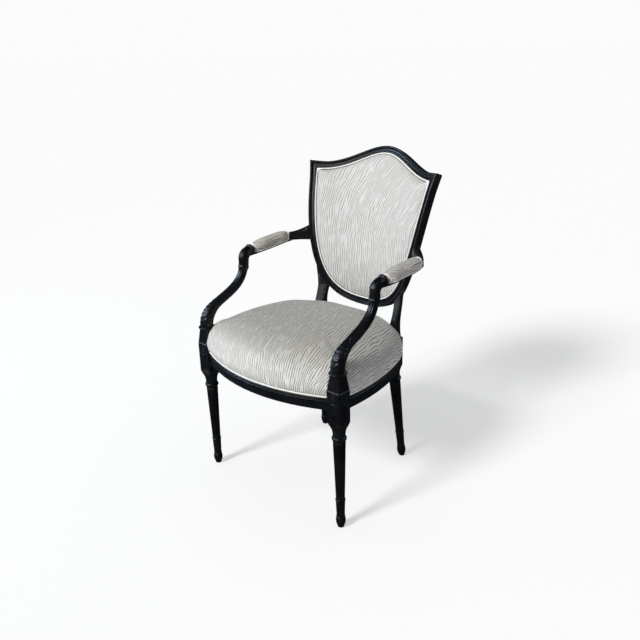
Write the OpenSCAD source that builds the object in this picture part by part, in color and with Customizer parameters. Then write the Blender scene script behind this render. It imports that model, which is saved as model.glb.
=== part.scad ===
// Open armchair with a shield back, turned and fluted legs, and upholstered seat, back and arm pads.
// Millimetres, +Z up. The sitter faces -Y and has +X on the left hand.
// Inside the model, y = 0 is the line through the front legs. place() then puts the origin on the
// floor under the middle of the whole outline.

/* [Legs] */
// Middle of the chair to the centre of a front leg
front_leg_x = 263; // [245:1:285]
// Middle of the chair to the centre of a rear leg where the seat rails meet it
rear_leg_x = 148; // [140:1:158]
// Front leg centres to rear leg centres at the seat rails
frame_depth = 388; // [360:1:410]
// How far the rear foot stands behind its leg's centre at the rails
rear_rake = 27; // [10:1:45]
// How far the rear foot stands outside its leg's centre at the rails
rear_splay = 20; // [5:1:30]
// Side of the square leg block that takes the rails
block_w = 43; // [40:1:48]
// Floor to the underside of the leg block
block_z = 329; // [320:1:340]
// Diameter of the foot where it meets the glide
foot_d = 19; // [16:0.5:22]
// Diameter of the bulb above the foot
bulb_d = 28; // [24:0.5:32]
// Height of the bulb's widest place
bulb_z = 24; // [20:1:28]
// Diameter of the ankle above the bulb
ankle_d = 22.5; // [20:0.5:24]
// Diameter of the lower ring
ring_d = 28.6; // [27:0.2:34]
// Height of the lower ring
ring_z = 88; // [80:1:96]
// Diameter of the shaft just above the lower ring
shaft_low_d = 25.3; // [23:0.1:27]
// Diameter of the shaft under the collar
shaft_top_d = 35; // [32:0.5:38]
// Diameter of the collar
collar_d = 41.5; // [39:0.5:43]
// Height of the collar's middle
collar_z = 282; // [276:1:286]
// Thickness of the collar
collar_t = 13; // [9:0.5:15]
// Diameter of the neck above the collar
neck_d = 35; // [32:0.5:38]
// Number of flutes round a leg
flutes = 12; // [8:1:14]
// Width of a flute at the top of the shaft
flute_w = 5.6; // [3:0.1:6.4]
// Width of the tapered shoulder's top
shoulder_w = 30; // [27:0.5:33]
// Height of the tapered shoulder above the leg block
shoulder_h = 51; // [44:1:58]
// Diameter of the thin disc on the shoulder
disc_d = 50; // [44:0.5:56]
// Thickness of the thin disc
disc_t = 6; // [4:0.5:8]
// Diameter of the metal glide under each foot
glide_d = 16; // [12:0.5:18]
// Height of a glide's head below the foot
glide_h = 2.5; // [1.5:0.1:4]

/* [Seat frame] */
// Floor to the underside of the seat rails
rail_z = 362; // [350:1:370]
// Height of the moulded, visible part of a rail
rail_show_h = 36; // [30:1:42]
// Height of the set-back part of a rail that the covering hides
rail_rebate_h = 20; // [14:1:24]
// Depth of that set-back
rebate_d = 7; // [5:0.5:9]
// Thickness of a rail
rail_t = 24; // [20:1:28]
// How far the front rail bows forward between the legs
front_bow = 57; // [40:1:70]
// How far the front rail's ends lie behind the front faces of the leg blocks
front_step = 4; // [2:0.5:8]
// Greatest reach of a side rail outside the front leg's centre
side_bow = 16; // [13:0.5:20]
// How far behind the front legs the side rails reach widest
side_bow_y = 80; // [70:1:100]
// Radius of a side rail in plan
side_r = 640; // [600:10:700]
// Radius of the seat's rear corners in plan
corner_r = 138; // [125:1:145]
// Radius of the beads along the rails
rail_bead = 2.2; // [1.5:0.1:3]
// Depth of a rail's flat field behind its beads
rail_field = 2; // [1:0.1:3]
// Rise of the front rail's lower edge at its middle
front_arch = 6; // [0:0.5:9]

/* [Back] */
// Overall height at the middle of the crest
overall_h = 966; // [930:1:1000]
// Half width of the upholstered back at its upper corners
back_half_w = 215; // [205:1:225]
// Height of the upholstery's upper corners
ear_z = 890; // [880:1:900]
// Height of the upholstery's lowest point
back_bottom_z = 505; // [500:1:515]
// How far the shield's sides at arm height stand in front of the rear leg centres
back_set = 3; // [0:0.5:8]
// Height at which the back's set and lean are measured
back_ref_z = 700; // [690:1:710]
// Lean of the back at that height, as run over rise
back_lean = 0.243; // [0.2:0.005:0.3]
// Backward sweep of the back: how much the lean grows in each 100 mm of height
back_sweep = 0.085; // [0.05:0.005:0.1]
// How far the back's middle is hollowed behind its sides
back_hollow = 75; // [50:1:80]
// Half width over which the hollow is measured
hollow_x = 240; // [225:1:255]
// Face width of the shield's moulding
frame_w = 21.5; // [19:0.5:24]
// Thickness of the shield's frame
frame_t = 23; // [22:0.5:28]
// Projection of the tongue inside the frame that carries the webbing
tongue_w = 9; // [6:0.5:12]
// Thickness of that tongue
tongue_t = 7; // [5:0.5:9]
// Depth of the rebate in front of the tongue
tongue_in = 10; // [8:0.5:12]
// Width of a back post at its slimmest
post_w = 30; // [27:0.5:34]
// Thickness of a back post
post_t = 20; // [18:0.5:24]

/* [Arms] */
// Middle of the chair to the middle of an arm pad
arm_x = 261; // [250:1:270]
// Floor to the top of the wood under an arm pad
arm_z = 677; // [665:1:690]
// Rise of the arm along its pad
arm_rise = 12; // [8:0.5:16]
// Thickness of the arm under the pad
arm_t = 21; // [18:0.5:24]
// Width of the rounded arm before and behind the pad
arm_w = 31; // [28:0.5:34]
// Width of the arm's thin edge that shows below the pad
edge_w = 40; // [36:0.5:44]
// Width of the arm's core inside the pad
core_w = 26; // [20:0.5:28]
// How far behind the front legs the arm's knuckle begins
knuckle_y = 140; // [125:1:150]
// Drop of the knuckle's underside below the arm's top
knuckle_drop = 35; // [33:1:38]
// Radius of the knuckle's bend, on its centre line
knuckle_r = 22; // [20:0.5:24]
// Width of the arm support at its carved foot
support_foot_w = 37; // [34:0.5:40]
// Width of the arm support's reeded stem
support_w = 27; // [24:0.5:30]
// Height of the arm where it meets the shield
arm_end_h = 52; // [44:1:58]
// Height of the arm's middle where it meets the shield
arm_end_z = 692; // [682:1:702]

/* [Upholstery] */
// Height of the seat's crown above the visible rail
seat_crown = 104; // [85:1:120]
// Height at which the seat's side turns over into its top, above the visible rail
seat_roll = 52; // [44:1:60]
// How far the seat's side swells outside the rail
seat_swell = 5; // [2:0.5:8]
// Crown of the back's upholstery
back_crown = 20; // [12:1:28]
// Diameter of the piping
piping_d = 5; // [4:0.5:6]
// Length of an arm pad
pad_l = 162; // [150:1:170]
// Width of an arm pad
pad_w = 45; // [42:0.5:48]
// Height of an arm pad above the arm's edge
pad_h = 32; // [28:0.5:36]
// Where an arm pad begins, behind the front legs
pad_y = 198; // [192:1:204]
// Width of a webbing strap
strap_w = 50; // [45:1:55]
// Thickness of the webbing, the hessian and the dust cover
cloth_t = 1.2; // [0.8:0.1:1.6]
// Number of seat straps each way
straps = 4; // [3:1:4]

/* [Joinery] */
// Clearance of a tenon in its mortise, on each side
joint_gap = 0.15; // [0.1:0.05:0.3]
// Clearance between upholstery and wood
soft_gap = 0.35; // [0.3:0.05:0.5]
// Length of a rail's tenon
tenon_l = 16; // [12:1:17]
// Thickness of a rail's tenon
tenon_t = 9; // [7:0.5:10]
// Diameter of the frame's dowels
dowel_d = 8; // [7:0.5:9]
// Length of the frame's dowels
dowel_l = 32; // [24:1:36]
// Leg of a triangular corner block
corner_leg = 58; // [48:1:64]
// Diameter of a corner block's screw
screw_d = 4; // [3.5:0.5:5]
// Length of a corner block's screw
screw_l = 40; // [35:1:42]

/* [Hidden] */

paint = [0.09, 0.10, 0.12];
fabric = [0.83, 0.81, 0.76];
cord_white = [0.92, 0.91, 0.88];
bare_wood = [0.72, 0.57, 0.38];
jute = [0.66, 0.55, 0.38];
cambric = [0.13, 0.13, 0.14];
steel = [0.72, 0.73, 0.75];

// Levels of the seat
show_z = rail_z + rail_show_h;
rail_top = show_z + rail_rebate_h;
block_top = rail_top;
shoulder_top = block_top + shoulder_h;
disc_z = shoulder_top;
support_z = disc_z + disc_t;
web_z = rail_top;
hessian_z = web_z + 2 * cloth_t;
seat_z = hessian_z + cloth_t + soft_gap;

// Plan of the seat frame
block_front = -block_w / 2;
front_edge = block_front + front_step;
half_chord = front_leg_x - block_w / 2;
front_r = (half_chord * half_chord + front_bow * front_bow) / (2 * front_bow);
front_c = front_edge - front_bow + front_r;
side_c = [front_leg_x + side_bow - side_r, side_bow_y];
corner_cy = frame_depth - corner_r;
corner_c = [side_c.x + sqrt(pow(side_r - corner_r, 2) - pow(corner_cy - side_c.y, 2)), corner_cy];
tangent_a = atan2(corner_c.y - side_c.y, corner_c.x - side_c.x);
rear_face = frame_depth + block_w / 2 - 3;

// Shield: points of its outline in front view, on the centre line of the piping
frame_in = piping_d / 2 + soft_gap;
frame_out = frame_in + frame_w;
crest_z = overall_h - frame_out * cos(atan(slope_z(overall_h)));
side_curve = [
    [back_half_w, ear_z], [back_half_w - 12, ear_z - 81], [back_half_w - 34, back_bottom_z + 70],
    [back_half_w - 71, back_bottom_z], [0, back_bottom_z]
];
crest_curve = [
    [back_half_w, ear_z], [back_half_w - 92, ear_z - 8], [64, crest_z], [0, crest_z]
];
side_joint_t = 0.80;

// Section of the frame: a bead at the inner edge, a cove, a bold outer bead, and the tongue behind
inner_bead = 2.2;
outer_bead = 3.8;
frame_profile = concat(
    [[frame_in, -tongue_in]],
    arc([frame_in + inner_bead, -1.5], inner_bead, 180, 0, 3),
    [[frame_in + 2 * inner_bead + 1, -3.4], [frame_in + frame_w / 2, -4],
        [frame_out - 2 * outer_bead - 1, -3]],
    arc([frame_out - outer_bead, -2], outer_bead, 160, 0, 4),
    [[frame_out, -frame_t + 3], [frame_out - 3, -frame_t], [frame_in + 1.5, -frame_t]],
    [[frame_in, -frame_t + 1.5], [frame_in, -tongue_in - tongue_t]],
    [[frame_in - tongue_w, -tongue_in - tongue_t], [frame_in - tongue_w, -tongue_in]]
);
frame_hub = [[frame_in + 3, -tongue_in - tongue_t / 2]];

// Everything is centred between the foremost cloth and the rearmost wood
front_reach = front_bow - front_edge + seat_swell;
back_reach = max([for (q = ring_at([0, crest_z], [0, 1], frame_profile)) q.y]);
mid_depth = (back_reach - front_reach) / 2;

// Point on a curve with any number of control points
function bez(p, t) = len(p) == 1
    ? p[0]
    : bez([for (i = [0:len(p) - 2]) p[i] * (1 - t) + p[i + 1] * t], t);
function unit(v) = v / norm(v);
function mix(a, b, t) = a * (1 - t) + b * t;
function sum(list, i = 0) = i == len(list) - 1 ? list[i] : list[i] + sum(list, i + 1);
// Points of an arc, both ends included
function arc(c, r, a0, a1, n) = [for (i = [0:n]) let(a = mix(a0, a1, i / n)) c + r * [cos(a), sin(a)]];
function reversed(list) = [for (i = [len(list) - 1:-1:0]) list[i]];
function flipped(list) = [for (p = reversed(list)) [-p.x, p.y]];
function flipped_rings(rings) = [for (r = reversed(rings)) [for (p = r) [-p.x, p.y, p.z]]];
function steps(n) = [for (i = [0:n]) i / n];
function slope(p, t) = bez([for (i = [0:len(p) - 2]) p[i + 1] - p[i]], t);
function signed_pow(v, e) = sign(v) * pow(abs(v), e);

// Surface of the back's front face, and its normal towards the sitter
function back_rel(x, z) = frame_depth - back_set
    + back_lean * (z - back_ref_z)
    + back_sweep / 200 * pow(z - back_ref_z, 2)
    + back_hollow * (1 - pow(x / hollow_x, 2));
function slope_x(x) = -2 * back_hollow * x / pow(hollow_x, 2);
function slope_z(z) = back_lean + back_sweep / 100 * (z - back_ref_z);
function back_normal(x, z) = unit([slope_x(x), -1, slope_z(z)]);
function on_back(p, v) = [p.x, back_rel(p.x, p.y), p.y] + v * back_normal(p.x, p.y);

// Outward directions in front view: of the shield's side, of its crest, and of the mitre between them
function side_out(t) = let(d = slope(side_curve, t)) unit([-d.y, d.x]);
function crest_out(t) = let(d = slope(crest_curve, t)) unit([d.y, -d.x]);
mitre_out = (side_out(0) + crest_out(0)) / (1 + side_out(0) * crest_out(0));
function side_dir(t) = t == 0 ? mitre_out : side_out(t);
function crest_dir(t) = t == 0 ? mitre_out : crest_out(t);
// The same direction, laid on the back's curved surface
function laid(p, d) = norm(d) * unit([d.x, slope_x(p.x) * d.x + slope_z(p.y) * d.y, d.y]);
// One section of the frame: every point of a profile set outwards by x and forwards by y
function ring_at(p, d, profile) = [
    for (q = profile) on_back(p, 0) + q.x * laid(p, d) + q.y * back_normal(p.x, p.y)
];
function side_rings(t0, t1, n, profile) = [
    for (s = steps(n)) let(t = mix(t0, t1, s)) ring_at(bez(side_curve, t), side_dir(t), profile)
];
function crest_rings(n, profile) = [
    for (t = steps(n)) ring_at(bez(crest_curve, t), crest_dir(t), profile)
];
// The curve parameter at which the shield's side has a given height
function side_t(z, lo = 0, hi = 1, n = 24) = n == 0
    ? (lo + hi) / 2
    : let(m = (lo + hi) / 2)
        bez(side_curve, m).y > z ? side_t(z, m, hi, n - 1) : side_t(z, lo, m, n - 1);

// Whole outline of the shield's opening in front view, moved outwards by u
function shield_outline(u) = let(
    side = [for (t = steps(14)) bez(side_curve, t) + u * side_dir(t)],
    crest = [for (i = [1:9]) bez(crest_curve, i / 10) + u * crest_dir(i / 10)],
    top = bez(crest_curve, 1) + [0, u]
) concat(side, [for (i = [13:-1:0]) [-side[i].x, side[i].y]],
    [for (p = crest) [-p.x, p.y]], [top], reversed(crest));

module place() translate([0, -mid_depth, 0]) children();
module mirrored() mirror([1, 0, 0]) children();

// Closed skin through rings with the same number of points. Ends are closed by a fan from a hub,
// which is the middle of the end ring if none is given, unless the rings run on into the first again.
module skin(rings, loop = false, axis = undef, hubs = undef) {
    n = len(rings[0]);
    m = len(rings);
    mids = [for (r = rings) sum(r) / n];
    way = axis == undef ? mids[1] - mids[0] : axis;
    area = sum([for (j = [0:n - 1]) cross(rings[0][j] - mids[0], rings[0][(j + 1) % n] - mids[0])]);
    turned = area * way > 0 ? rings : [for (r = rings) reversed(r)];
    ends = loop ? [] : hubs == undef ? [mids[0], mids[m - 1]] : hubs;
    walls = [
        for (i = [0:m - (loop ? 1 : 2)], j = [0:n - 1])
            let(a = i * n + j, b = i * n + (j + 1) % n,
                c = ((i + 1) % m) * n + (j + 1) % n, d = ((i + 1) % m) * n + j)
            each [[a, c, b], [a, d, c]]
    ];
    caps = loop ? [] : [
        for (j = [0:n - 1])
            each [[j, (j + 1) % n, m * n], [(m - 1) * n + (j + 1) % n, (m - 1) * n + j, m * n + 1]]
    ];
    polyhedron(concat([for (r = turned) each r], ends), concat(walls, caps));
}

// Legs

// Half section of the turned part, from the foot up to the top of the collar
function leg_profile() = let(
    foot_r = foot_d / 2, bulb_r = bulb_d / 2, ankle_r = ankle_d / 2, ring_r = ring_d / 2,
    low_r = shaft_low_d / 2, top_r = shaft_top_d / 2, collar_r = collar_d / 2, neck_r = neck_d / 2,
    ankle_z = bulb_z + 11, cup_z = bulb_z + 17, bead_r = 3.5, half_t = collar_t / 2
) concat(
    [[0, 0], [foot_r, 0]],
    [for (t = steps(6)) bez([[foot_r, 5], [bulb_r, bulb_z - 10], [bulb_r, bulb_z]], t)],
    [for (i = [1:5]) bez([[bulb_r, bulb_z], [bulb_r, bulb_z + 7], [ankle_r, ankle_z - 1]], i / 5)],
    arc([ankle_r, ankle_z + 1.5], 1.5, -90, 90, 6),
    [[ankle_r, cup_z - 2], [low_r - 1, cup_z], [low_r + 0.4, ring_z - 8]],
    arc([ring_r - bead_r, ring_z], bead_r, -75, 75, 8),
    [[low_r + 0.6, ring_z + 6], [low_r, ring_z + 10], [top_r, collar_z - half_t - 4]],
    [[top_r - 1.5, collar_z - half_t]],
    arc([collar_r - half_t, collar_z], half_t, -80, 80, 10),
    [[neck_r, collar_z + half_t], [neck_r, collar_z + half_t + 2], [0, collar_z + half_t + 2]]
);

// Half section of the bell that swells from the neck to the block's corners
function bell_profile() = let(neck_r = neck_d / 2, z0 = collar_z + collar_t / 2, far = block_w * 0.73) concat(
    [[0, z0], [neck_r, z0]],
    [for (t = steps(8)) bez([
        [neck_r, z0 + 6], [neck_r + 1, mix(z0, block_z, 0.55)],
        [neck_r + 5, mix(z0, block_z, 0.7)], [far, block_z + 1]], t)],
    [[far, block_z + 8], [0, block_z + 8]]
);

// A tapered channel along the shaft, with round ends
module flute_cutter() {
    low_z = ring_z + 15;
    high_z = collar_z - collar_t / 2 - 10;
    low_w = flute_w * shaft_low_d / shaft_top_d;
    tilt = atan((shaft_top_d - shaft_low_d) / 2 / (high_z - low_z + 20));
    low_x = shaft_low_d / 2 + 0.6;
    translate([low_x, 0, low_z]) rotate([0, tilt, 0]) {
        cylinder(r1 = low_w / 2, r2 = flute_w / 2, h = high_z - low_z, $fn = 24);
        sphere(low_w / 2, $fn = 24);
        translate([0, 0, high_z - low_z]) sphere(flute_w / 2, $fn = 24);
    }
}

module turned_leg() {
    difference() {
        rotate_extrude($fn = 64) polygon(leg_profile());
        for (i = [0:flutes - 1]) rotate([0, 0, i * 360 / flutes]) flute_cutter();
    }
}

// Square block with the bell cut from the same stuff under it; children set the turning on its axis
module leg_block() {
    half = block_w / 2;
    translate([-half, -half, block_z]) cube([block_w, block_w, block_top - block_z]);
}

module bell_square() {
    half = block_w / 2;
    translate([-half, -half, collar_z]) cube([block_w, block_w, block_z - collar_z + 4]);
}

// Tenons of the rails, grown by a gap where they cut their mortises
tenon_z = rail_z + 18;
tenon_h = rail_top - 8 - tenon_z;
front_tenon_y = front_edge + rail_t / 2;
side_x = side_c.x + sqrt(pow(side_r, 2) - pow(block_w / 2 - side_c.y, 2)) - rail_t / 2;
side_tenon_x = rear_leg_x + 7;
rear_tenon_y = rear_face - rail_t / 2;

module tenon_box(x0, x1, y0, y1, gap) {
    translate([x0 - gap, y0 - gap, tenon_z - gap])
        cube([x1 - x0 + 2 * gap, y1 - y0 + 2 * gap, tenon_h + 2 * gap]);
}

module front_tenon(gap = 0)
    tenon_box(half_chord - 2, half_chord + tenon_l,
        front_tenon_y - tenon_t / 2, front_tenon_y + tenon_t / 2, gap);

module side_front_tenon(gap = 0)
    tenon_box(side_x - tenon_t / 2, side_x + tenon_t / 2,
        block_w / 2 - tenon_l, block_w / 2 + 2, gap);

module side_rear_tenon(gap = 0)
    tenon_box(side_tenon_x - tenon_t / 2, side_tenon_x + tenon_t / 2,
        frame_depth - block_w / 2 - 3, frame_depth - block_w / 2 + tenon_l, gap);

module rear_tenon(gap = 0)
    tenon_box(rear_leg_x - block_w / 2 - 2, rear_leg_x - block_w / 2 + tenon_l,
        rear_tenon_y - tenon_t / 2, rear_tenon_y + tenon_t / 2, gap);

// Metal glide, standing on the floor with its nail up in the foot
nail_d = 3;
nail_l = 14;
module glide(gap = 0) {
    cylinder(d = nail_d + 2 * gap, h = glide_h + nail_l + gap, $fn = 24);
    if (gap == 0)
        rotate_extrude($fn = 32) polygon([
            [0, 0], [glide_d / 2 - 1.5, 0], [glide_d / 2, 1.2], [glide_d / 2, glide_h], [0, glide_h]
        ]);
}

// The tapered shoulder above a front block, grown by a gap where the seat is cut round it
module shoulder(gap = 0) {
    low = block_w / 2 + gap;
    high = shoulder_w / 2 + gap;
    side = [[-low, 0], [low, 0], [high, shoulder_h], [-high, shoulder_h]];
    translate([0, 0, block_top]) intersection() {
        rotate([90, 0, 0]) translate([0, 0, -block_w]) linear_extrude(2 * block_w) polygon(side);
        rotate([90, 0, 90]) translate([0, 0, -block_w]) linear_extrude(2 * block_w) polygon(side);
    }
}

// Reeding of the shoulder: grooves that follow its slope
reed_pitch = 7.5;
groove_r = 1.3;
module shoulder_grooves() {
    lean = atan((block_w - shoulder_w) / 2 / shoulder_h);
    for (a = [0:90:270], i = [-1:1])
        rotate([0, 0, a]) translate([i * reed_pitch, -block_w / 2 + 0.4, block_top])
            rotate([-lean, 0, 0]) translate([0, 0, 4]) cylinder(r = groove_r, h = shoulder_h + 10, $fn = 16);
}

arm_dowel_d = 10;
arm_dowel_in = 26;
disc_sunk = 0.5;
module front_leg() {
    difference() {
        union() {
            turned_leg();
            leg_block();
            intersection() {
                rotate_extrude($fn = 64) polygon(bell_profile());
                bell_square();
            }
            difference() {
                shoulder();
                shoulder_grooves();
            }
            translate([0, 0, disc_z]) rotate_extrude($fn = 64) polygon(concat(
                [[0, -disc_sunk]], [[disc_d / 2 - disc_t / 2, -disc_sunk]],
                arc([disc_d / 2 - disc_t / 2, disc_t / 2], disc_t / 2, -80, 80, 8),
                [[disc_d / 2 - disc_t / 2, disc_t], [0, disc_t]]));
        }
        translate([0, 0, -1]) cylinder(d = foot_d + 10, h = glide_h + 1, $fn = 32);
        glide(joint_gap);
        translate([0, 0, support_z - arm_dowel_in])
            cylinder(d = arm_dowel_d + 2 * joint_gap, h = arm_dowel_in + 5, $fn = 32);
        translate([-front_leg_x, 0, 0]) {
            front_tenon(joint_gap);
            side_front_tenon(joint_gap);
            front_screw(joint_gap);
        }
    }
}

module front_left_leg() color(paint) place() translate([front_leg_x, 0, 0]) front_leg();
module front_right_leg() color(paint) place() mirrored() translate([front_leg_x, 0, 0]) front_leg();

// Back post: one ring of its section at height z
post_top_t = side_t(back_bottom_z + 90);
post_top = bez(side_curve, post_top_t) + frame_out * side_out(post_top_t);
// Waist of the post, from which it flares up to the shield
post_waist = [rear_leg_x + 5 - post_w / 2, rear_leg_x + 5 + post_w / 2];
post_inner = [
    [rear_leg_x - block_w / 2, block_top], [post_waist[0], block_top + 34],
    [post_waist[0] + 10, block_top + 70], [post_waist[0] - 7, block_top + 117],
    [post_top.x - 57, post_top.y]
];
post_outer = [
    [rear_leg_x + block_w / 2, block_top], [post_waist[1], block_top + 40],
    [post_waist[1] - 5, block_top + 100], [post_top.x - 10, post_top.y - 55],
    [post_top.x, post_top.y]
];
post_merge_z = back_bottom_z + 25;
function post_ring(s, grow = 0) = let(
    a = bez(post_inner, s), b = bez(post_outer, s), z = (a.y + b.y) / 2,
    mid = (a.x + b.x) / 2, half = (b.x - a.x) / 2 + grow - (s == 0 ? 0.3 : 0),
    down = max(0, (post_merge_z - z) / (post_merge_z - block_top)),
    gone = back_rel(rear_leg_x, block_top) + 2 - (frame_depth - block_w / 2),
    thick = mix(post_t, block_w, pow(down, 2.6)) + 2 * grow - (s == 0 ? 0.6 : 0),
    square = mix(2.4, 9, down), flat = 5,
    front = function(x) back_rel(x, z) + 2 - grow - gone * pow(down, 1.2) + (s == 0 ? 0.3 : 0)
) concat(
    [for (x = [-half + 1.5, 0, half - 1.5]) [mid + x, front(mid + x), z]],
    [[mid + half, front(mid + half) + 1.5, z]],
    [for (i = [0:8]) let(w = i * 22.5)
        [mid + half * signed_pow(cos(w), 2 / square),
            front(mid + half * cos(w)) + flat + (thick - flat) * signed_pow(sin(w), 2 / square), z]],
    [[mid - half, front(mid - half) + 1.5, z]]
);

// Everything inside the shield's outer edge, to trim what butts against it
module shield_core(gap) {
    reach = [[-45, -70], [frame_out + gap, -70], [frame_out + gap, 60], [-45, 60]];
    skin(side_rings(0.02, 0.97, 20, reach));
}

post_dowel_ts = [side_t(back_bottom_z + 55.5), side_t(back_bottom_z + 41)];
// A round pin across the joint at parameter t of the shield's side, in along the outward direction
module post_pin(t, gap = 0) {
    p = bez(side_curve, t);
    d = laid(p, side_out(t));
    at = on_back(p, -frame_t / 2) + frame_out * d;
    pin_on(at, d, 11, dowel_l - 22, dowel_d, gap);
}

// A pin through a point, running back by one length and forward by another
module pin_on(at, d, back, ahead, dia, gap) {
    translate(at) rotate([0, acos(d.z / norm(d)), atan2(d.y, d.x)])
        translate([0, 0, -back - gap]) cylinder(d = dia + 2 * gap, h = back + ahead + 2 * gap, $fn = 24);
}

leg_knee_z = block_z + 16;
leg_turn = [
    asin(rear_rake / norm([rear_splay, rear_rake, leg_knee_z])),
    atan2(-rear_splay, leg_knee_z), 0
];
module rear_leg() {
    difference() {
        union() {
            translate([rear_splay, rear_rake, 0]) rotate(leg_turn) turned_leg();
            leg_block();
            intersection() {
                translate([rear_splay, rear_rake, 0]) rotate(leg_turn)
                    rotate_extrude($fn = 64) polygon(bell_profile());
                bell_square();
            }
            translate([-rear_leg_x, -frame_depth, 0]) difference() {
                skin([for (s = steps(16)) post_ring(s)]);
                shield_core(joint_gap);
            }
        }
        translate([rear_splay, rear_rake, -5]) cylinder(d = foot_d + 12, h = glide_h + 5, $fn = 32);
        translate([rear_splay, rear_rake, 0]) glide(joint_gap);
        translate([-rear_leg_x, -frame_depth, 0]) {
            side_rear_tenon(joint_gap);
            rear_tenon(joint_gap);
            rear_screw(joint_gap);
            for (t = post_dowel_ts) post_pin(t, joint_gap);
        }
    }
}

module rear_left_leg() color(paint) place() translate([rear_leg_x, frame_depth, 0]) rear_leg();
module rear_right_leg() color(paint) place() mirrored() translate([rear_leg_x, frame_depth, 0]) rear_leg();

module foot_glides() color(steel) place() {
    for (s = [-1, 1]) {
        translate([s * front_leg_x, 0, 0]) glide();
        translate([s * (rear_leg_x + rear_splay), frame_depth + rear_rake, 0]) glide();
    }
}

// Seat frame

// Section of a curved rail: distance outside its outer line, and height; its lower edge can rise
function rail_profile(rise = 0) = concat(
    [[-rail_t, rail_z + rise], [-rail_field, rail_z + rise]],
    arc([-rail_field - rail_bead + 1.2, rail_z + rise + rail_bead], rail_bead, -45, 45, 3),
    arc([-rail_bead, show_z - rail_bead - 1], rail_bead, -55, 70, 4),
    [[-rail_field, show_z], [-rebate_d, show_z], [-rebate_d, rail_top], [-rail_t, rail_top]]
);
function rail_ring(c, r, a, rise = 0) = [
    for (q = rail_profile(rise)) [c.x + (r + q.x) * cos(a), c.y + (r + q.x) * sin(a), q.y]
];

front_a = asin(half_chord / front_r);
side_a0 = asin((block_w / 2 - side_c.y) / side_r);
rear_a = acos((rear_leg_x + block_w / 2 - corner_c.x) / corner_r);
rear_end_a = acos((rear_leg_x - corner_c.x) / (corner_r - rail_t / 2));

module front_seat_rail() color(paint) place() {
    difference() {
        skin([for (s = steps(20)) let(a = 270 + mix(-1.03, 1.03, s) * front_a)
            rail_ring([0, front_c], front_r, a,
                front_arch * max(0, 1 - pow(front_r * cos(a) / half_chord, 2)))]);
        for (s = [-1, 1]) translate([s * front_leg_x, 0, 0]) leg_block();
    }
    front_tenon();
    mirrored() front_tenon();
}

module side_rail() {
    difference() {
        skin(concat(
            [for (s = steps(10)) rail_ring(side_c, side_r, mix(side_a0, tangent_a, s))],
            [for (s = [1:9]) rail_ring(corner_c, corner_r, mix(tangent_a, rear_end_a, s / 9))]
        ));
        translate([rear_leg_x, frame_depth, 0]) leg_block();
    }
    side_front_tenon();
    side_rear_tenon();
}

module left_seat_rail() color(paint) place() side_rail();
module right_seat_rail() color(paint) place() mirrored() side_rail();

module rear_seat_rail() color(paint) place() {
    length = 2 * rear_leg_x - block_w;
    translate([-length / 2, rear_face, 0]) rotate([90, 0, 90]) linear_extrude(length)
        polygon([
            [-rail_t, rail_z], [0, rail_z], [0, show_z], [-rebate_d, show_z],
            [-rebate_d, rail_top], [-rail_t, rail_top]
        ]);
    rear_tenon();
    mirrored() rear_tenon();
}

// Outline of the seat in plan, moved outwards by an offset
function seat_half(off) = concat(
    arc(side_c, side_r + off, asin(-side_c.y / side_r), tangent_a, 10),
    [for (i = [1:6]) arc(corner_c, corner_r + off, tangent_a, rear_a, 6)[i]],
    [for (i = [1:4]) bez([
        corner_c + (corner_r + off) * [cos(rear_a), sin(rear_a)],
        [rear_leg_x - block_w / 2, rear_face + off], [rear_leg_x / 2, rear_face + off]], i / 4)]
);
function seat_outline(off) = let(half = seat_half(off), a = asin(front_leg_x / front_r)) concat(
    half, [[0, rear_face + off]], flipped(half),
    arc([0, front_c], front_r + off, 270 - a, 270 + a, 16)
);

// Inside of the seat frame in plan, less a gap at the rails and the leg blocks
module seat_inside(gap) {
    difference() {
        polygon(seat_outline(-rail_t - gap));
        leg_squares(gap);
        translate([0, rear_face + 50 - rail_t - gap]) square([2 * front_leg_x, 100], center = true);
    }
}

module leg_squares(gap) {
    for (s = [-1, 1]) {
        translate([s * front_leg_x, 0]) square(block_w + 2 * gap, center = true);
        translate([s * rear_leg_x, frame_depth]) square(block_w + 2 * gap, center = true);
    }
}

corner_z = rail_z + 2;
corner_h = 30;
// Room between a corner block and the flats of the curved rails
block_fit = 0.3;
screw_z = rail_z + 9;
front_corner = [front_leg_x - block_w / 2, block_w / 2];

module front_screw(gap = 0) corner_screw(front_corner, 135, gap);
module rear_screw(gap = 0)
    corner_screw([rear_leg_x - 13, frame_depth - block_w / 2], 270, gap);

// A screw whose point lies in the leg and whose head bears on the corner block's inner face
screw_in = 16;
head_d = 8;
head_h = 3;
module corner_screw(at, a, gap) {
    translate([at.x, at.y, screw_z]) rotate([0, 0, a]) rotate([0, 90, 0]) {
        translate([0, 0, -screw_in - gap])
            cylinder(d = screw_d + 2 * gap, h = screw_l + gap, $fn = 24);
        translate([0, 0, screw_l - screw_in - gap])
            cylinder(d = head_d + 2 * gap, h = head_h + (gap > 0 ? 60 : 0), $fn = 24);
    }
}

module front_block() {
    difference() {
        translate([0, 0, corner_z]) linear_extrude(corner_h) intersection() {
            seat_inside(block_fit);
            polygon([
                front_corner + [30, -30], front_corner + [-corner_leg, -60],
                front_corner + [-corner_leg, 0], front_corner + [0, corner_leg],
                front_corner + [60, corner_leg]
            ]);
        }
        front_screw(joint_gap);
    }
}

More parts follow.
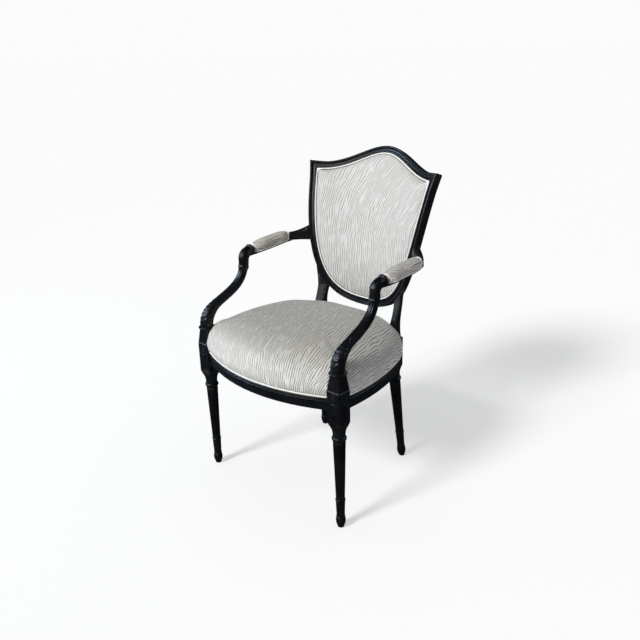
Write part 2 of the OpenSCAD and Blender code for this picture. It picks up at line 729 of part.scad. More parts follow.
module rear_block() {
    corner = [rear_leg_x + block_w / 2, frame_depth - block_w / 2];
    difference() {
        translate([0, 0, corner_z]) linear_extrude(corner_h) difference() {
            intersection() {
                seat_inside(block_fit);
                polygon([
                    corner + [-corner_leg, 60], corner + [-corner_leg, 0],
                    corner + [0, -corner_leg], corner + [60, -corner_leg], corner + [60, 60]
                ]);
            }
            polygon(concat(arc(corner_c, corner_r + block_fit, tangent_a, rear_end_a + 1, 9),
                reversed(arc(corner_c, corner_r - rail_t - block_fit, tangent_a, rear_end_a + 1, 9))));
        }
        rear_screw(joint_gap);
    }
}

module front_left_corner_block() color(bare_wood) place() front_block();
module front_right_corner_block() color(bare_wood) place() mirrored() front_block();
module rear_left_corner_block() color(bare_wood) place() rear_block();
module rear_right_corner_block() color(bare_wood) place() mirrored() rear_block();

module corner_block_screws() color(steel) place() {
    for (s = [0, 1]) mirror([s, 0, 0]) {
        front_screw();
        rear_screw();
    }
}

// Shield

module frame_skin(rings, hub_rings) {
    m = len(hub_rings) - 1;
    skin(rings, hubs = [hub_rings[0][0], hub_rings[m][0]]);
}

crest_pin_in = 7;
module crest_pin(gap = 0) {
    p = bez(side_curve, 0);
    q = bez(side_curve, 0.05);
    mid = frame_in + frame_w / 2;
    at = ring_at(p, mitre_out, [[mid, -frame_t / 2]])[0];
    d = unit(on_back(p, 0) - on_back(q, 0));
    pin_on(at, d, dowel_l - crest_pin_in - 6, crest_pin_in, dowel_d, gap);
}

module bottom_pin(gap = 0) {
    mid = [[frame_in + frame_w / 2, -frame_t / 2]];
    at = ring_at(bez(side_curve, side_joint_t), side_out(side_joint_t), mid)[0];
    ahead = ring_at(bez(side_curve, side_joint_t + 0.05), side_out(side_joint_t + 0.05), mid)[0];
    pin_on(at, ahead - at, dowel_l / 2, dowel_l / 2, dowel_d, gap);
}

module crest_rail() color(paint) place() difference() {
    half = crest_rings(13, frame_profile);
    hubs = crest_rings(1, frame_hub);
    skin(concat(half, [for (i = [1:13]) flipped_rings(half)[i]]),
        hubs = [hubs[0][0], flipped_rings(hubs)[1][0]]);
    for (s = [0, 1]) mirror([s, 0, 0]) crest_pin(joint_gap);
}

module shield_side() difference() {
    frame_skin(side_rings(0, side_joint_t, 16, frame_profile), side_rings(0, side_joint_t, 1, frame_hub));
    crest_pin(joint_gap);
    bottom_pin(joint_gap);
    arm_pin(joint_gap);
    for (t = post_dowel_ts) post_pin(t, joint_gap);
}

module left_shield_side() color(paint) place() shield_side();
module right_shield_side() color(paint) place() mirrored() shield_side();

module shield_bottom_rail() color(paint) place() difference() {
    half = side_rings(side_joint_t, 1, 7, frame_profile);
    hubs = side_rings(side_joint_t, 1, 1, frame_hub);
    skin(concat(half, [for (i = [1:7]) flipped_rings(half)[i]]),
        hubs = [hubs[0][0], flipped_rings(hubs)[1][0]]);
    for (s = [0, 1]) mirror([s, 0, 0]) bottom_pin(joint_gap);
}

module shield_dowels() color(bare_wood) place() for (s = [0, 1]) mirror([s, 0, 0]) {
    crest_pin();
    bottom_pin();
}

module post_dowels() color(bare_wood) place() for (s = [0, 1], t = post_dowel_ts)
    mirror([s, 0, 0]) post_pin(t);

// Arms

knuckle_z = arm_z - knuckle_drop;
stem_y = knuckle_y + arm_w / 2 + 4;
// Curve of the arm support in side view
support_curve = [
    [0, support_z], [0, support_z + 92], [stem_y - 6, knuckle_z - 112], [stem_y, knuckle_z]
];

// Section of the support: nearly round, with six shallow grooves between its reeds
function reeded(w, groove) = [
    for (i = [0:23]) let(a = 15 * i, c = signed_pow(cos(a), 0.85), s = signed_pow(sin(a), 0.85))
        (w / 2 - (i % 4 == 2 ? groove : 0)) * [c, s]
];

function support_w_at(s) = s < 0.34
    ? mix(support_foot_w, support_w + 1, pow(s / 0.34, 1.5)) + 2 * sin(min(1, s / 0.3) * 180)
    : s > 0.93 ? support_w + 3 : mix(support_w + 1, support_w, (s - 0.34) / 0.59);

function support_ring(s) = let(
    p = bez(support_curve, s), d = s == 1 ? [0, 1] : unit(slope(support_curve, s)),
    x = mix(front_leg_x, arm_mid(stem_y), s),
    section = reeded(support_w_at(s), s > 0.36 && s < 0.92 ? 1.3 : 0.4)
) [for (q = section) [x + q.x, p.x - q.y * d.y, p.y + q.y * d.x]];

module arm_support() difference() {
    skin([for (s = concat([for (i = [0:20]) i * 0.92 / 20], [0.935, 0.97, 1])) support_ring(s)]);
    translate([front_leg_x, 0, 0]) support_dowel(joint_gap);
    knuckle_dowel(joint_gap);
}

module left_arm_support() color(paint) place() arm_support();
module right_arm_support() color(paint) place() mirrored() arm_support();

module support_dowel(gap = 0) translate([0, 0, support_z - arm_dowel_in + 1 - gap])
    cylinder(d = arm_dowel_d + 2 * gap, h = 2 * arm_dowel_in - 2 + 2 * gap, $fn = 32);

knuckle_dowel_in = 18;
module knuckle_dowel(gap = 0)
    translate([arm_mid(stem_y), stem_y, knuckle_z - knuckle_dowel_in - gap])
        cylinder(d = arm_dowel_d + 2 * gap, h = 2 * knuckle_dowel_in + 2 * gap, $fn = 32);

// Plan of the arm: nearly straight, then bending in to the shield
arm_bend_y = 325;
arm_face_t = side_t(arm_end_z);
arm_face = bez(side_curve, arm_face_t) + frame_out * side_out(arm_face_t);
arm_face_y = back_rel(arm_face.x, arm_face.y) + frame_t / 2;
function arm_mid(y) = y < pad_y
    ? arm_x - 5 * (pad_y - y) / (pad_y - knuckle_y)
    : arm_x - (arm_x - arm_face.x) * pow(max(0, y - arm_bend_y) / (arm_face_y - arm_bend_y), 2.2);
function arm_way(y) = unit([arm_mid(y + 0.5) - arm_mid(y - 0.5), 1]);

// Share of its full width that a pad has at share s of its length
function pad_full(s) = sqrt(1 - pow(abs(2 * s - 1), 5));
pad_end = pad_y + pad_l;
edge_t = 5;
edge_z = arm_z - arm_t + edge_t;
// Height gained at y by the arm's slope along its pad
function arm_lift(y) = arm_rise * max(0, min(1, (y - pad_y) / pad_l));
axis_z = knuckle_z + 5 + knuckle_r;
arm_half = arm_w / 2;
// Middle of the arm just behind its pad
arm_tail_z = arm_z - 7 + arm_rise;

// Stations of the arm: place of its centre in side view, half width, reach up and down, how square
// it is above and below, and how far it has turned from upright
arm_stations = concat(
    [[stem_y, knuckle_z, arm_half - 1, arm_half - 1, arm_half - 1, 2.2, 2.2, 0]],
    [for (i = [0:6]) let(a = 15 * i)
        [stem_y + knuckle_r * (1 - cos(a)), axis_z + knuckle_r * (sin(a) - 1),
            arm_half, arm_half, arm_half, 2.2, 2.2, a]],
    [
        [pad_y - 13, axis_z, arm_half, arm_half, arm_half, 2.2, 2.2, 90],
        [pad_y - 11, axis_z, arm_half + 2.5, arm_half + 3.5, arm_half, 2.2, 2.2, 90],
        [pad_y - 8, axis_z, arm_half + 3.5, arm_half + 5, arm_half, 2.2, 2.2, 90],
        [pad_y - 5, axis_z, arm_half + 2.5, arm_half + 3.5, arm_half, 2.2, 2.2, 90],
        [pad_y - 3, axis_z, arm_half + 1, arm_half - 1, arm_half, 2.4, 2.4, 90],
        [pad_y - 1.5, edge_z - 2, arm_half + 1, 2, edge_t - 2, 9, 2.4, 90]
    ],
    [for (i = [0:8]) let(s = 0.01 + 0.98 * i / 8, y = mix(pad_y, pad_end, s))
        [y, edge_z - 2 + arm_lift(y), max(arm_half + 1, edge_w / 2 * pad_full(s)), 2,
            edge_t - 2, 9, 2.4, 90]],
    [
        [pad_end + 1.5, edge_z - 2 + arm_rise, arm_half + 1, 2, edge_t - 2, 9, 2.4, 90],
        [pad_end + 3, arm_tail_z, arm_half, 13, 14, 2.6, 2.4, 90]
    ],
    [for (i = [1:6]) let(s = i / 6, y = mix(pad_end + 3, arm_face_y, s))
        [y, mix(arm_tail_z, arm_end_z, s * s), mix(arm_half, arm_half - 3, s),
            mix(13, arm_end_h / 2, s * s), mix(14, arm_end_h / 2, s * s), 2.8, 2.4, 90]]
);

function arm_ring(k) = let(mid = arm_mid(k[0]), d = arm_way(k[0]), turn = k[7]) [
    for (i = [0:15]) let(
        a = 22.5 * i, up = sin(a) >= 0,
        across = k[2] * signed_pow(cos(a), 2 / (up ? k[5] : k[6])),
        out = (up ? k[3] : k[4]) * signed_pow(sin(a), 2 / (up ? k[5] : k[6]))
    ) [mid + across * d.y, k[0] - across * d.x - out * cos(turn), k[1] + out * sin(turn)]
];

// The arm's core, which the pad wraps, grown by a gap where the pad is hollowed for it
core_end = 20;
module arm_core(gap = 0) skin([
    for (y = [pad_y + core_end - gap, pad_y + pad_l / 3, arm_bend_y, pad_end - core_end + gap])
        let(mid = arm_mid(y), d = arm_way(y)) [
            for (q = [[-1, edge_z - 2], [1, edge_z - 2], [1, arm_z + gap], [-1, arm_z + gap]])
                let(across = q.x * (core_w / 2 + gap))
                    [mid + across * d.y, y - across * d.x, q.y + arm_lift(y)]
        ]
]);

module armrest() difference() {
    union() {
        skin([for (k = arm_stations) arm_ring(k)]);
        arm_core();
    }
    shield_core(joint_gap);
    knuckle_dowel(joint_gap);
    arm_pin(joint_gap);
}

module arm_pin(gap = 0) {
    d = arm_way(arm_face_y);
    pin_on([arm_face.x, arm_face_y, arm_end_z], [-d.x, -d.y, 0], 12, 15, dowel_d, gap);
}

module left_armrest() color(paint) place() armrest();
module right_armrest() color(paint) place() mirrored() armrest();

module arm_dowels() color(bare_wood) place() for (s = [0, 1]) mirror([s, 0, 0]) {
    translate([front_leg_x, 0, 0]) support_dowel();
    knuckle_dowel();
    arm_pin();
}

// Upholstery

arm_piping_d = 4;
pad_base = edge_z + soft_gap;
// The pad's lip stands behind its piping, and its body bulges over it
lip_h = arm_piping_d + 0.3;
lip_back = pad_w / 2 - arm_piping_d - 2;
// Distance by which the pad's lip, the piping and the body end short of the core's length
lip_short = 4.9;
piping_short = 1.4;
body_short = 1.8;
pad_section = [
    [core_w / 2 - 3, 0], [lip_back, 0], [lip_back + 0.8, lip_h - 0.4],
    [pad_w / 2 - 1, lip_h + 1.4], [pad_w / 2, pad_h * 0.38], [pad_w / 2 - 1.5, pad_h * 0.64],
    [pad_w / 2 - 6, pad_h * 0.86], [pad_w / 4, pad_h * 0.96], [0, pad_h]
];
function pad_full_section() = concat(pad_section, [for (i = [7:-1:0]) [-pad_section[i].x, pad_section[i].y]]);
// Section of the pad at share s of a length that stops short at both ends, no lower than a lift
function pad_ring(s, short, lift = 0) = let(
    y = mix(pad_y + short, pad_end - short, s), mid = arm_mid(y), d = arm_way(y), f = pad_full(s)
) [
    for (q = pad_full_section()) let(h = max(q.y, lift))
        [mid + f * q.x * d.y, y - f * q.x * d.x,
            pad_base + arm_lift(y) + min(h, lip_h) + max(0, h - lip_h) * mix(0.55, 1, f)]
];
pad_steps = [for (i = [-6:6]) 0.5 + 0.5 * sin(i * 12.8)];
module arm_pad() difference() {
    skin(concat(
        [pad_ring(0.004, body_short, lip_h + 1.4)],
        [for (s = pad_steps) pad_ring(s, lip_short)],
        [pad_ring(0.996, body_short, lip_h + 1.4)]
    ));
    arm_core(soft_gap);
}

function pad_edge(a) = let(
    s = 0.5 + 0.5 * sin(a), y = mix(pad_y + piping_short, pad_end - piping_short, s), d = arm_way(y),
    half = (lip_back + arm_piping_d / 2 + 1) * sqrt(1 - pow(abs(sin(a)), 5)) * sign(cos(a))
) [arm_mid(y) + half * d.y, y - half * d.x, pad_base + arm_lift(y) + arm_piping_d / 2];
// Round ring of a tube through point b of a path, with its neighbours a and c
function tube_ring(a, b, c, r, up) = let(
    way = unit(c - a), side = unit(cross(way, up)), top = cross(side, way)
) [for (i = [0:7]) b + r * (cos(i * 45) * side + sin(i * 45) * top)];
module tube(path, r, up) {
    n = len(path) - 1;
    skin([for (i = [0:n]) tube_ring(path[max(0, i - 1)], path[i], path[min(n, i + 1)], r, up)]);
}
module tube_loop(path, r, up) {
    n = len(path);
    skin([for (i = [0:n - 1]) tube_ring(path[(i + n - 1) % n], path[i], path[(i + 1) % n], r, up)],
        loop = true);
}
module pad_piping() tube_loop([for (i = [0:31]) pad_edge((i + 0.5) * 11.25)], arm_piping_d / 2, [0, 0, 1]);

module left_arm_pad() color(fabric) place() arm_pad();
module right_arm_pad() color(fabric) place() mirrored() arm_pad();
module left_arm_pad_piping() color(cord_white) place() pad_piping();
module right_arm_pad_piping() color(cord_white) place() mirrored() pad_piping();

// Room that the cloth leaves in front of a post, which leans forward of its block
post_room = 5;
// Straps, clipped to the frame's set-back top; the outer ones end level with the rear rail's tenons
module strap_area() polygon(seat_outline(-rebate_d - 3));
strap_pitch = (2 * (rear_leg_x - block_w / 2 + tenon_l) - strap_w) / (straps - 1);
module seat_straps(z, turn) translate([0, 0, z]) linear_extrude(cloth_t) intersection() {
    difference() {
        strap_area();
        leg_squares(1);
    }
    for (i = [0:straps - 1]) {
        at = (i - (straps - 1) / 2) * strap_pitch;
        if (turn) translate([0, frame_depth / 2 + at]) square([3 * front_leg_x, strap_w], center = true);
        else translate([at, frame_depth / 2]) square([strap_w, 2 * frame_depth], center = true);
    }
}
module seat_webbing_crosswise() color(jute) place() seat_straps(web_z, true);
module seat_webbing_lengthwise() color(jute) place() seat_straps(web_z + cloth_t, false);
module seat_hessian() color(jute) place() translate([0, 0, hessian_z]) linear_extrude(cloth_t) difference() {
    strap_area();
    leg_squares(1);
    for (s = [-1, 1]) translate([s * rear_leg_x, frame_depth - post_room])
        square(block_w + 2 * post_room, center = true);
}
module dust_cover() color(cambric) place() translate([0, 0, rail_z - soft_gap - cloth_t])
    linear_extrude(cloth_t) difference() {
        polygon(seat_outline(-6));
        leg_squares(1);
    }

// Room between the stuffing and the rebate's flats
rebate_gap = soft_gap + 0.2;
// Stuffed seat: rings of the plan's outline, each with an offset, a share of full size and a level
seat_middle = [0, 165];
seat_rings = [
    [-1, 1, piping_d + soft_gap], [2.5, 1, 12], [seat_swell, 1, 24], [seat_swell - 0.5, 1, 36],
    [seat_swell - 4, 1, seat_roll - 6], [-1, 0.98, seat_roll + 5], [-1, 0.935, seat_roll + 17],
    [-1, 0.86, mix(seat_roll, seat_crown, 0.56)], [-1, 0.75, mix(seat_roll, seat_crown, 0.76)],
    [-1, 0.6, mix(seat_roll, seat_crown, 0.9)], [-1, 0.42, mix(seat_roll, seat_crown, 0.965)],
    [-1, 0.22, seat_crown]
];
function seat_ring(k) = [
    for (p = seat_outline(k[0])) let(q = seat_middle + k[1] * (p - seat_middle)) [q.x, q.y, show_z + k[2]]
];
module seat_cushion() color(fabric) place() difference() {
    skin([for (k = seat_rings) seat_ring(k)]);
    translate([0, 0, rail_z]) linear_extrude(seat_z - rail_z) {
        polygon(seat_outline(-rebate_d + rebate_gap));
        translate([0, rear_face - rebate_d + rebate_gap - 25]) square([2 * rear_leg_x, 50], center = true);
    }
    for (s = [-1, 1]) {
        translate([s * front_leg_x, 0, rail_z]) linear_extrude(block_top - rail_z + 0.01)
            square(block_w + 2 * soft_gap, center = true);
        translate([s * front_leg_x, 0, 0]) shoulder(soft_gap);
        translate([s * front_leg_x, 0, disc_z - disc_sunk - soft_gap])
            cylinder(d = disc_d + 2 * soft_gap, h = disc_t + 10, $fn = 48);
        translate([s * rear_leg_x, frame_depth, rail_z])
            linear_extrude(block_top - rail_z + 0.01) square(block_w + 2 * soft_gap, center = true);
    }
    for (s = [0, 1]) mirror([s, 0, 0]) {
        skin([for (s = steps(10)) post_ring(0.7 * s, soft_gap + 0.3)]);
    }
}

piping_r = piping_d / 2;
piping_z = show_z + piping_r + 0.05;
function seat_line(c, r, a0, a1, n) = [for (p = arc(c, r - piping_r - 0.5, a0, a1, n)) [p.x, p.y, piping_z]];
module front_seat_piping() color(cord_white) place()
    tube(seat_line([0, front_c], front_r, 270.4 - front_a, 269.6 + front_a, 20), piping_r, [0, 0, 1]);
module side_piping() tube(concat(
    seat_line(side_c, side_r, side_a0 + 0.1, tangent_a, 11),
    [for (i = [1:8]) seat_line(corner_c, corner_r, tangent_a, rear_a - 1.4, 8)[i]]
), piping_r, [0, 0, 1]);
module left_seat_piping() color(cord_white) place() side_piping();
module right_seat_piping() color(cord_white) place() mirrored() side_piping();
module rear_seat_piping() color(cord_white) place() {
    length = 2 * rear_leg_x - block_w - 1;
    translate([-length / 2, rear_face - piping_r, piping_z]) rotate([0, 90, 0])
        cylinder(r = piping_r, h = length, $fn = 24);
}

// Straps of the back, laid on the tongue and clipped to it
module back_area(u) rotate([90, 0, 0]) translate([0, 0, -2 * frame_depth])
    linear_extrude(2 * frame_depth) polygon(shield_outline(u));
back_strap_pitch = 92;
back_middle = [0, mix(back_bottom_z, crest_z, 0.55)];
// Room that the flats of a curved strap take up
strap_sag = 1.5;
module back_strap(from, to, across, v) skin([
    for (s = steps(8)) let(p = mix(from, to, s)) [
        on_back(p - across * strap_w / 2, v), on_back(p + across * strap_w / 2, v),
        on_back(p + across * strap_w / 2, v + cloth_t), on_back(p - across * strap_w / 2, v + cloth_t)
    ]
]);
module back_webbing_upright() color(jute) place() intersection() {
    back_area(frame_in - tongue_w / 2);
    union() for (i = [-1:1])
        back_strap([i * back_strap_pitch, back_bottom_z], [i * back_strap_pitch, crest_z], [1, 0],
            -tongue_in + cloth_t + strap_sag);
}
module back_webbing_crosswise() color(jute) place() intersection() {
    back_area(frame_in - tongue_w / 2);
    union() for (i = [-1:1]) let(z = back_middle.y - 15 + i * back_strap_pitch)
        back_strap([-hollow_x, z], [hollow_x, z], [0, 1],
            -tongue_in + 0.05);
}

// Stuffed back: rings of the shield's outline, each with an offset, a share of full size and a level
function back_ring(u, share, v) = [
    for (p = shield_outline(u)) on_back(back_middle + share * (p - back_middle), v)
];
back_base = -tongue_in + 2 * (cloth_t + strap_sag) + soft_gap;
inside_u = -piping_r - soft_gap;
module back_cushion() color(fabric) place() skin([
    for (k = [
        [0.12, back_base], [0.5, back_base], [0.8, back_base], [1, back_base], [1, 1.5],
        [0.975, 0.3 * back_crown], [0.93, 0.5 * back_crown], [0.85, 0.68 * back_crown],
        [0.7, 0.84 * back_crown], [0.5, 0.94 * back_crown], [0.3, 0.985 * back_crown],
        [0.12, back_crown]
    ]) back_ring(inside_u, k[0], k[1])
], axis = [0, -1, 0]);

module back_piping_loop(v) {
    path = shield_outline(0);
    tube_loop([for (p = path) on_back(p, v)], piping_r, [0, -1, 0]);
}
module back_piping() color(cord_white) place() back_piping_loop(0);

outside_v = -tongue_in - tongue_t - 2 * soft_gap;
module outside_back() color(fabric) place() skin([
    for (k = [[0.12, -5], [0.5, -5], [0.85, -4.6], [1, -3], [1, 0], [0.8, 0], [0.5, 0], [0.12, 0]])
        back_ring(inside_u, k[0], outside_v + k[1])
], axis = [0, -1, 0]);
module outside_back_piping() color(cord_white) place() back_piping_loop(outside_v - piping_r);

front_left_leg();
front_right_leg();
rear_left_leg();
rear_right_leg();
foot_glides();
front_seat_rail();
left_seat_rail();
right_seat_rail();
rear_seat_rail();
front_left_corner_block();
front_right_corner_block();
rear_left_corner_block();
rear_right_corner_block();
corner_block_screws();
crest_rail();
left_shield_side();
right_shield_side();
shield_bottom_rail();
shield_dowels();
post_dowels();
left_arm_support();
right_arm_support();
left_armrest();
right_armrest();
arm_dowels();
left_arm_pad();
right_arm_pad();
left_arm_pad_piping();
right_arm_pad_piping();
seat_webbing_lengthwise();
seat_webbing_crosswise();
seat_hessian();
seat_cushion();
front_seat_piping();
left_seat_piping();
right_seat_piping();
rear_seat_piping();
dust_cover();
back_webbing_upright();
back_webbing_crosswise();
back_cushion();
back_piping();
outside_back();
outside_back_piping();
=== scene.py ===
"""Open armchair with a shield back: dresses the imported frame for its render."""

import logging
import math
from dataclasses import dataclass
from enum import Enum
from typing import Any, Callable, Dict, Mapping, Optional, Sequence, Tuple, Union

import bmesh
import bpy
import numpy as np
from mathutils import Matrix, Vector
from mathutils.bvhtree import BVHTree


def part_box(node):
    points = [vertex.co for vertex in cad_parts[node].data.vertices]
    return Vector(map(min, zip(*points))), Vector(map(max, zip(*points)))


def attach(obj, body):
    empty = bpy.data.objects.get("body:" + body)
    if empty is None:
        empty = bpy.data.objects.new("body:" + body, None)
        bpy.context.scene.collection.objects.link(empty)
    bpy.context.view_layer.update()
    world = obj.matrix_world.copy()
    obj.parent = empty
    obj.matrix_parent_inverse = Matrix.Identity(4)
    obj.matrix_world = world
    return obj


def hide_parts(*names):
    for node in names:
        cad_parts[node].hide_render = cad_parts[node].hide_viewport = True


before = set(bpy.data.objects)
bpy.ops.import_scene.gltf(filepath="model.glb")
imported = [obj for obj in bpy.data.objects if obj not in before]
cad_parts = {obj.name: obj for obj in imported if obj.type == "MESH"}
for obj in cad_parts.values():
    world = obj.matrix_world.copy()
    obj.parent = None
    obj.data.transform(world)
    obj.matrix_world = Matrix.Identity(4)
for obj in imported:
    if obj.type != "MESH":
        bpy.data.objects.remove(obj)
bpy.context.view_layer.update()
LOG = logging.getLogger("armchair")
ROOT = "root"
MM = 0.001
TURN = 2 * math.pi
Colour = Tuple[float, float, float]
Pair = Tuple[float, float]
Triple = Tuple[float, float, float]
Held = Callable[[np.ndarray, np.ndarray], np.ndarray]
Relief = Callable[[np.ndarray, np.ndarray], np.ndarray]
# Distance within which a CAD copy's points are welded
WELD = 3e-5
# Widest angles between triangles that are joined to quads
QUAD_FACE_DEG = 25
QUAD_SHAPE_DEG = 75
# Height of a carved panel's ground over the wood, and depth of its rim in it
PANEL_LIFT = 0.15 * MM
PANEL_SINK = -0.6 * MM


class Side(Enum):
    """The sitter's left or right."""

    LEFT = 1
    RIGHT = -1

    @property
    def word(self) -> str:
        """The word that starts the names of this side's pieces."""
        return self.name.lower()


class Slot(Enum):
    """Material slots of the record."""

    PAINT = "paint"
    FABRIC = "fabric"
    CORD = "cord_white"
    CAMBRIC = "cambric"


# Shader graph


class Wire:
    """A value that flows through a material, with maths written as Python expressions."""

    def __init__(self, graph: "Graph", socket: bpy.types.NodeSocket) -> None:
        """Keeps the graph and the output socket that carries the value."""
        self.graph = graph
        self.socket = socket

    def __add__(self, other: "Value") -> "Wire":
        """self + other."""
        return self.graph.maths("ADD", self, other)

    __radd__ = __add__

    def __sub__(self, other: "Value") -> "Wire":
        """self - other."""
        return self.graph.maths("SUBTRACT", self, other)

    def __rsub__(self, other: "Value") -> "Wire":
        """other - self."""
        return self.graph.maths("SUBTRACT", other, self)

    def __mul__(self, other: "Value") -> "Wire":
        """self * other."""
        return self.graph.maths("MULTIPLY", self, other)

    __rmul__ = __mul__


Value = Union[Wire, float, Sequence[float]]


class Graph:
    """The node tree of one material."""

    def __init__(self, name: str) -> None:
        """Starts an empty tree with an output.

        Args:
            name: The material's name.
        """
        self.material = bpy.data.materials.new(name)
        self.material.use_nodes = True
        self.tree = self.material.node_tree
        self.tree.nodes.clear()
        self.output = self.tree.nodes.new("ShaderNodeOutputMaterial")

    def node(self, kind: str, settings: Optional[Mapping[str, Any]] = None,
             sockets: Optional[Mapping[Union[str, int], Value]] = None, out: Union[str, int] = 0) -> Wire:
        """Adds one node.

        Args:
            kind: Node type.
            settings: Properties to set first; "stops" holds a ramp's places and colours.
            sockets: Input names or places, each with a value or a wire.
            out: Name or place of the output to return.

        Returns:
            The wire from that output.
        """
        made = self.tree.nodes.new(kind)
        for key, value in (settings or {}).items():
            if key == "stops":
                ramp = made.color_ramp
                while len(ramp.elements) < len(value):
                    ramp.elements.new(0.5)
                for element, (place, colour) in zip(ramp.elements, value):
                    element.position = place
                    element.color = (*colour, 1.0) if len(colour) == 3 else colour
            else:
                setattr(made, key, value)
        for key, value in (sockets or {}).items():
            target = made.inputs[key]
            if isinstance(value, Wire):
                self.tree.links.new(value.socket, target)
            elif isinstance(value, (int, float)):
                target.default_value = value
            elif len(value) == 3 and len(target.default_value) == 4:
                target.default_value = (*value, 1.0)
            else:
                target.default_value = value
        return Wire(self, made.outputs[out])

    def maths(self, operation: str, *values: Value) -> Wire:
        """Adds a Math node on one or two values."""
        return self.node("ShaderNodeMath", {"operation": operation}, dict(enumerate(values)))

    def vector_maths(self, operation: str, *values: Value) -> Wire:
        """Adds a Vector Math node."""
        return self.node("ShaderNodeVectorMath", {"operation": operation}, dict(enumerate(values)))

    def mix(self, share: Value, low: Value, high: Value) -> Wire:
        """Mixes two colours by a share."""
        return self.node("ShaderNodeMix", {"data_type": "RGBA"}, {0: share, 6: low, 7: high}, out=2)

    def step(self, value: Value, low: float, high: float) -> Wire:
        """Rises smoothly from 0 at low to 1 at high."""
        return self.node("ShaderNodeMapRange", {"interpolation_type": "SMOOTHSTEP"},
                         {0: value, 1: low, 2: high, 3: 0.0, 4: 1.0})

    def noise(self, vector: Wire, scale: float, detail: float = 3.0, rough: float = 0.5) -> Wire:
        """Noise from 0 to 1 at a scale in cycles per metre."""
        return self.node("ShaderNodeTexNoise", {"noise_dimensions": "3D"},
                         {"Vector": vector, "Scale": scale, "Detail": detail, "Roughness": rough})

    def place(self) -> Wire:
        """Object coordinates, in metres."""
        return self.node("ShaderNodeTexCoord", out="Object")

    def stretched(self, vector: Wire, scale: Sequence[float]) -> Wire:
        """A vector multiplied along its axes."""
        return self.vector_maths("MULTIPLY", vector, tuple(scale))

    def parts(self, vector: Wire) -> Tuple[Wire, Wire, Wire]:
        """Takes a vector apart.

        Args:
            vector: The vector.

        Returns:
            Its three numbers.
        """
        made = self.node("ShaderNodeSeparateXYZ", sockets={0: vector})
        outs = made.socket.node.outputs
        return Wire(self, outs[0]), Wire(self, outs[1]), Wire(self, outs[2])

    def bump(self, height: Wire, distance: float, strength: float = 1.0,
             below: Optional[Wire] = None) -> Wire:
        """Turns a height into a normal, on top of another if one is given.

        Args:
            height: The height, from 0 to 1.
            distance: Metres that a height of 1 stands for.
            strength: How much of it shows.
            below: The normal that it lies on.

        Returns:
            The normal.
        """
        sockets: Dict[Union[str, int], Value] = {
            "Height": height, "Distance": distance, "Strength": strength}
        if below is not None:
            sockets["Normal"] = below
        return self.node("ShaderNodeBump", sockets=sockets)

    def finish(self, sockets: Mapping[Union[str, int], Value]) -> bpy.types.Material:
        """Closes the tree with a Principled surface.

        Args:
            sockets: Its inputs.

        Returns:
            The material.
        """
        surface = self.node("ShaderNodeBsdfPrincipled", sockets=sockets)
        self.tree.links.new(surface.socket, self.output.inputs["Surface"])
        return self.material


# Finishes


@dataclass(frozen=True)
class RubbedBlackPaint:
    """Satin black paint on wood, nearly navy, rubbed to brown at the edges.

    Attributes:
        name: The material's name.
        deep: The paint where it lies thick.
        lift: The paint where it lies thin or has dust on it.
        rubbed: The ground that shows at rubbed edges.
        wear: How far the edges are rubbed, from 0 to 1.
        cloud_scale: Clouds of tone in a metre.
        speck_scale: Specks in a metre.
        brush_scale: Brush marks in a metre, along each axis.
        edge_range: Pointiness at which an edge starts to be rubbed, and at which it is bare.
    """

    name: str = "rubbed_black_paint"
    deep: Colour = (0.0016, 0.0019, 0.0025)
    lift: Colour = (0.005, 0.0064, 0.009)
    rubbed: Colour = (0.06, 0.05, 0.038)
    wear: float = 0.4
    cloud_scale: float = 22
    speck_scale: float = 420
    brush_scale: Triple = (700, 700, 90)
    edge_range: Pair = (0.535, 0.6)

    def material(self) -> bpy.types.Material:
        """Builds the material.

        Returns:
            The material.
        """
        g = Graph(self.name)
        place = g.place()
        clouds = g.noise(place, self.cloud_scale, 4, 0.6)
        specks = g.noise(place, self.speck_scale, 3, 0.7)
        brushed = g.noise(g.stretched(place, self.brush_scale), 1.0, 2, 0.5)
        colour = g.mix(g.step(clouds, 0.35, 0.72), self.deep, self.lift)
        edge = g.node("ShaderNodeNewGeometry", out="Pointiness")
        bare = g.step(edge + (specks - 0.5) * 0.04, *self.edge_range)
        worn = bare * g.step(clouds, 0.45, 0.65) * self.wear
        dust = g.step(specks, 0.62, 0.8) * 0.3
        colour = g.mix(worn, g.mix(dust, colour, self.lift), self.rubbed)
        rough = 0.24 + clouds * 0.1 + specks * 0.14
        below = g.bump(brushed, 0.00012, 0.5)
        normal = g.bump(specks, 0.0003, 0.6, below)
        return g.finish({"Base Color": colour, "Roughness": rough, "Normal": normal,
                         "Specular IOR Level": 0.38})


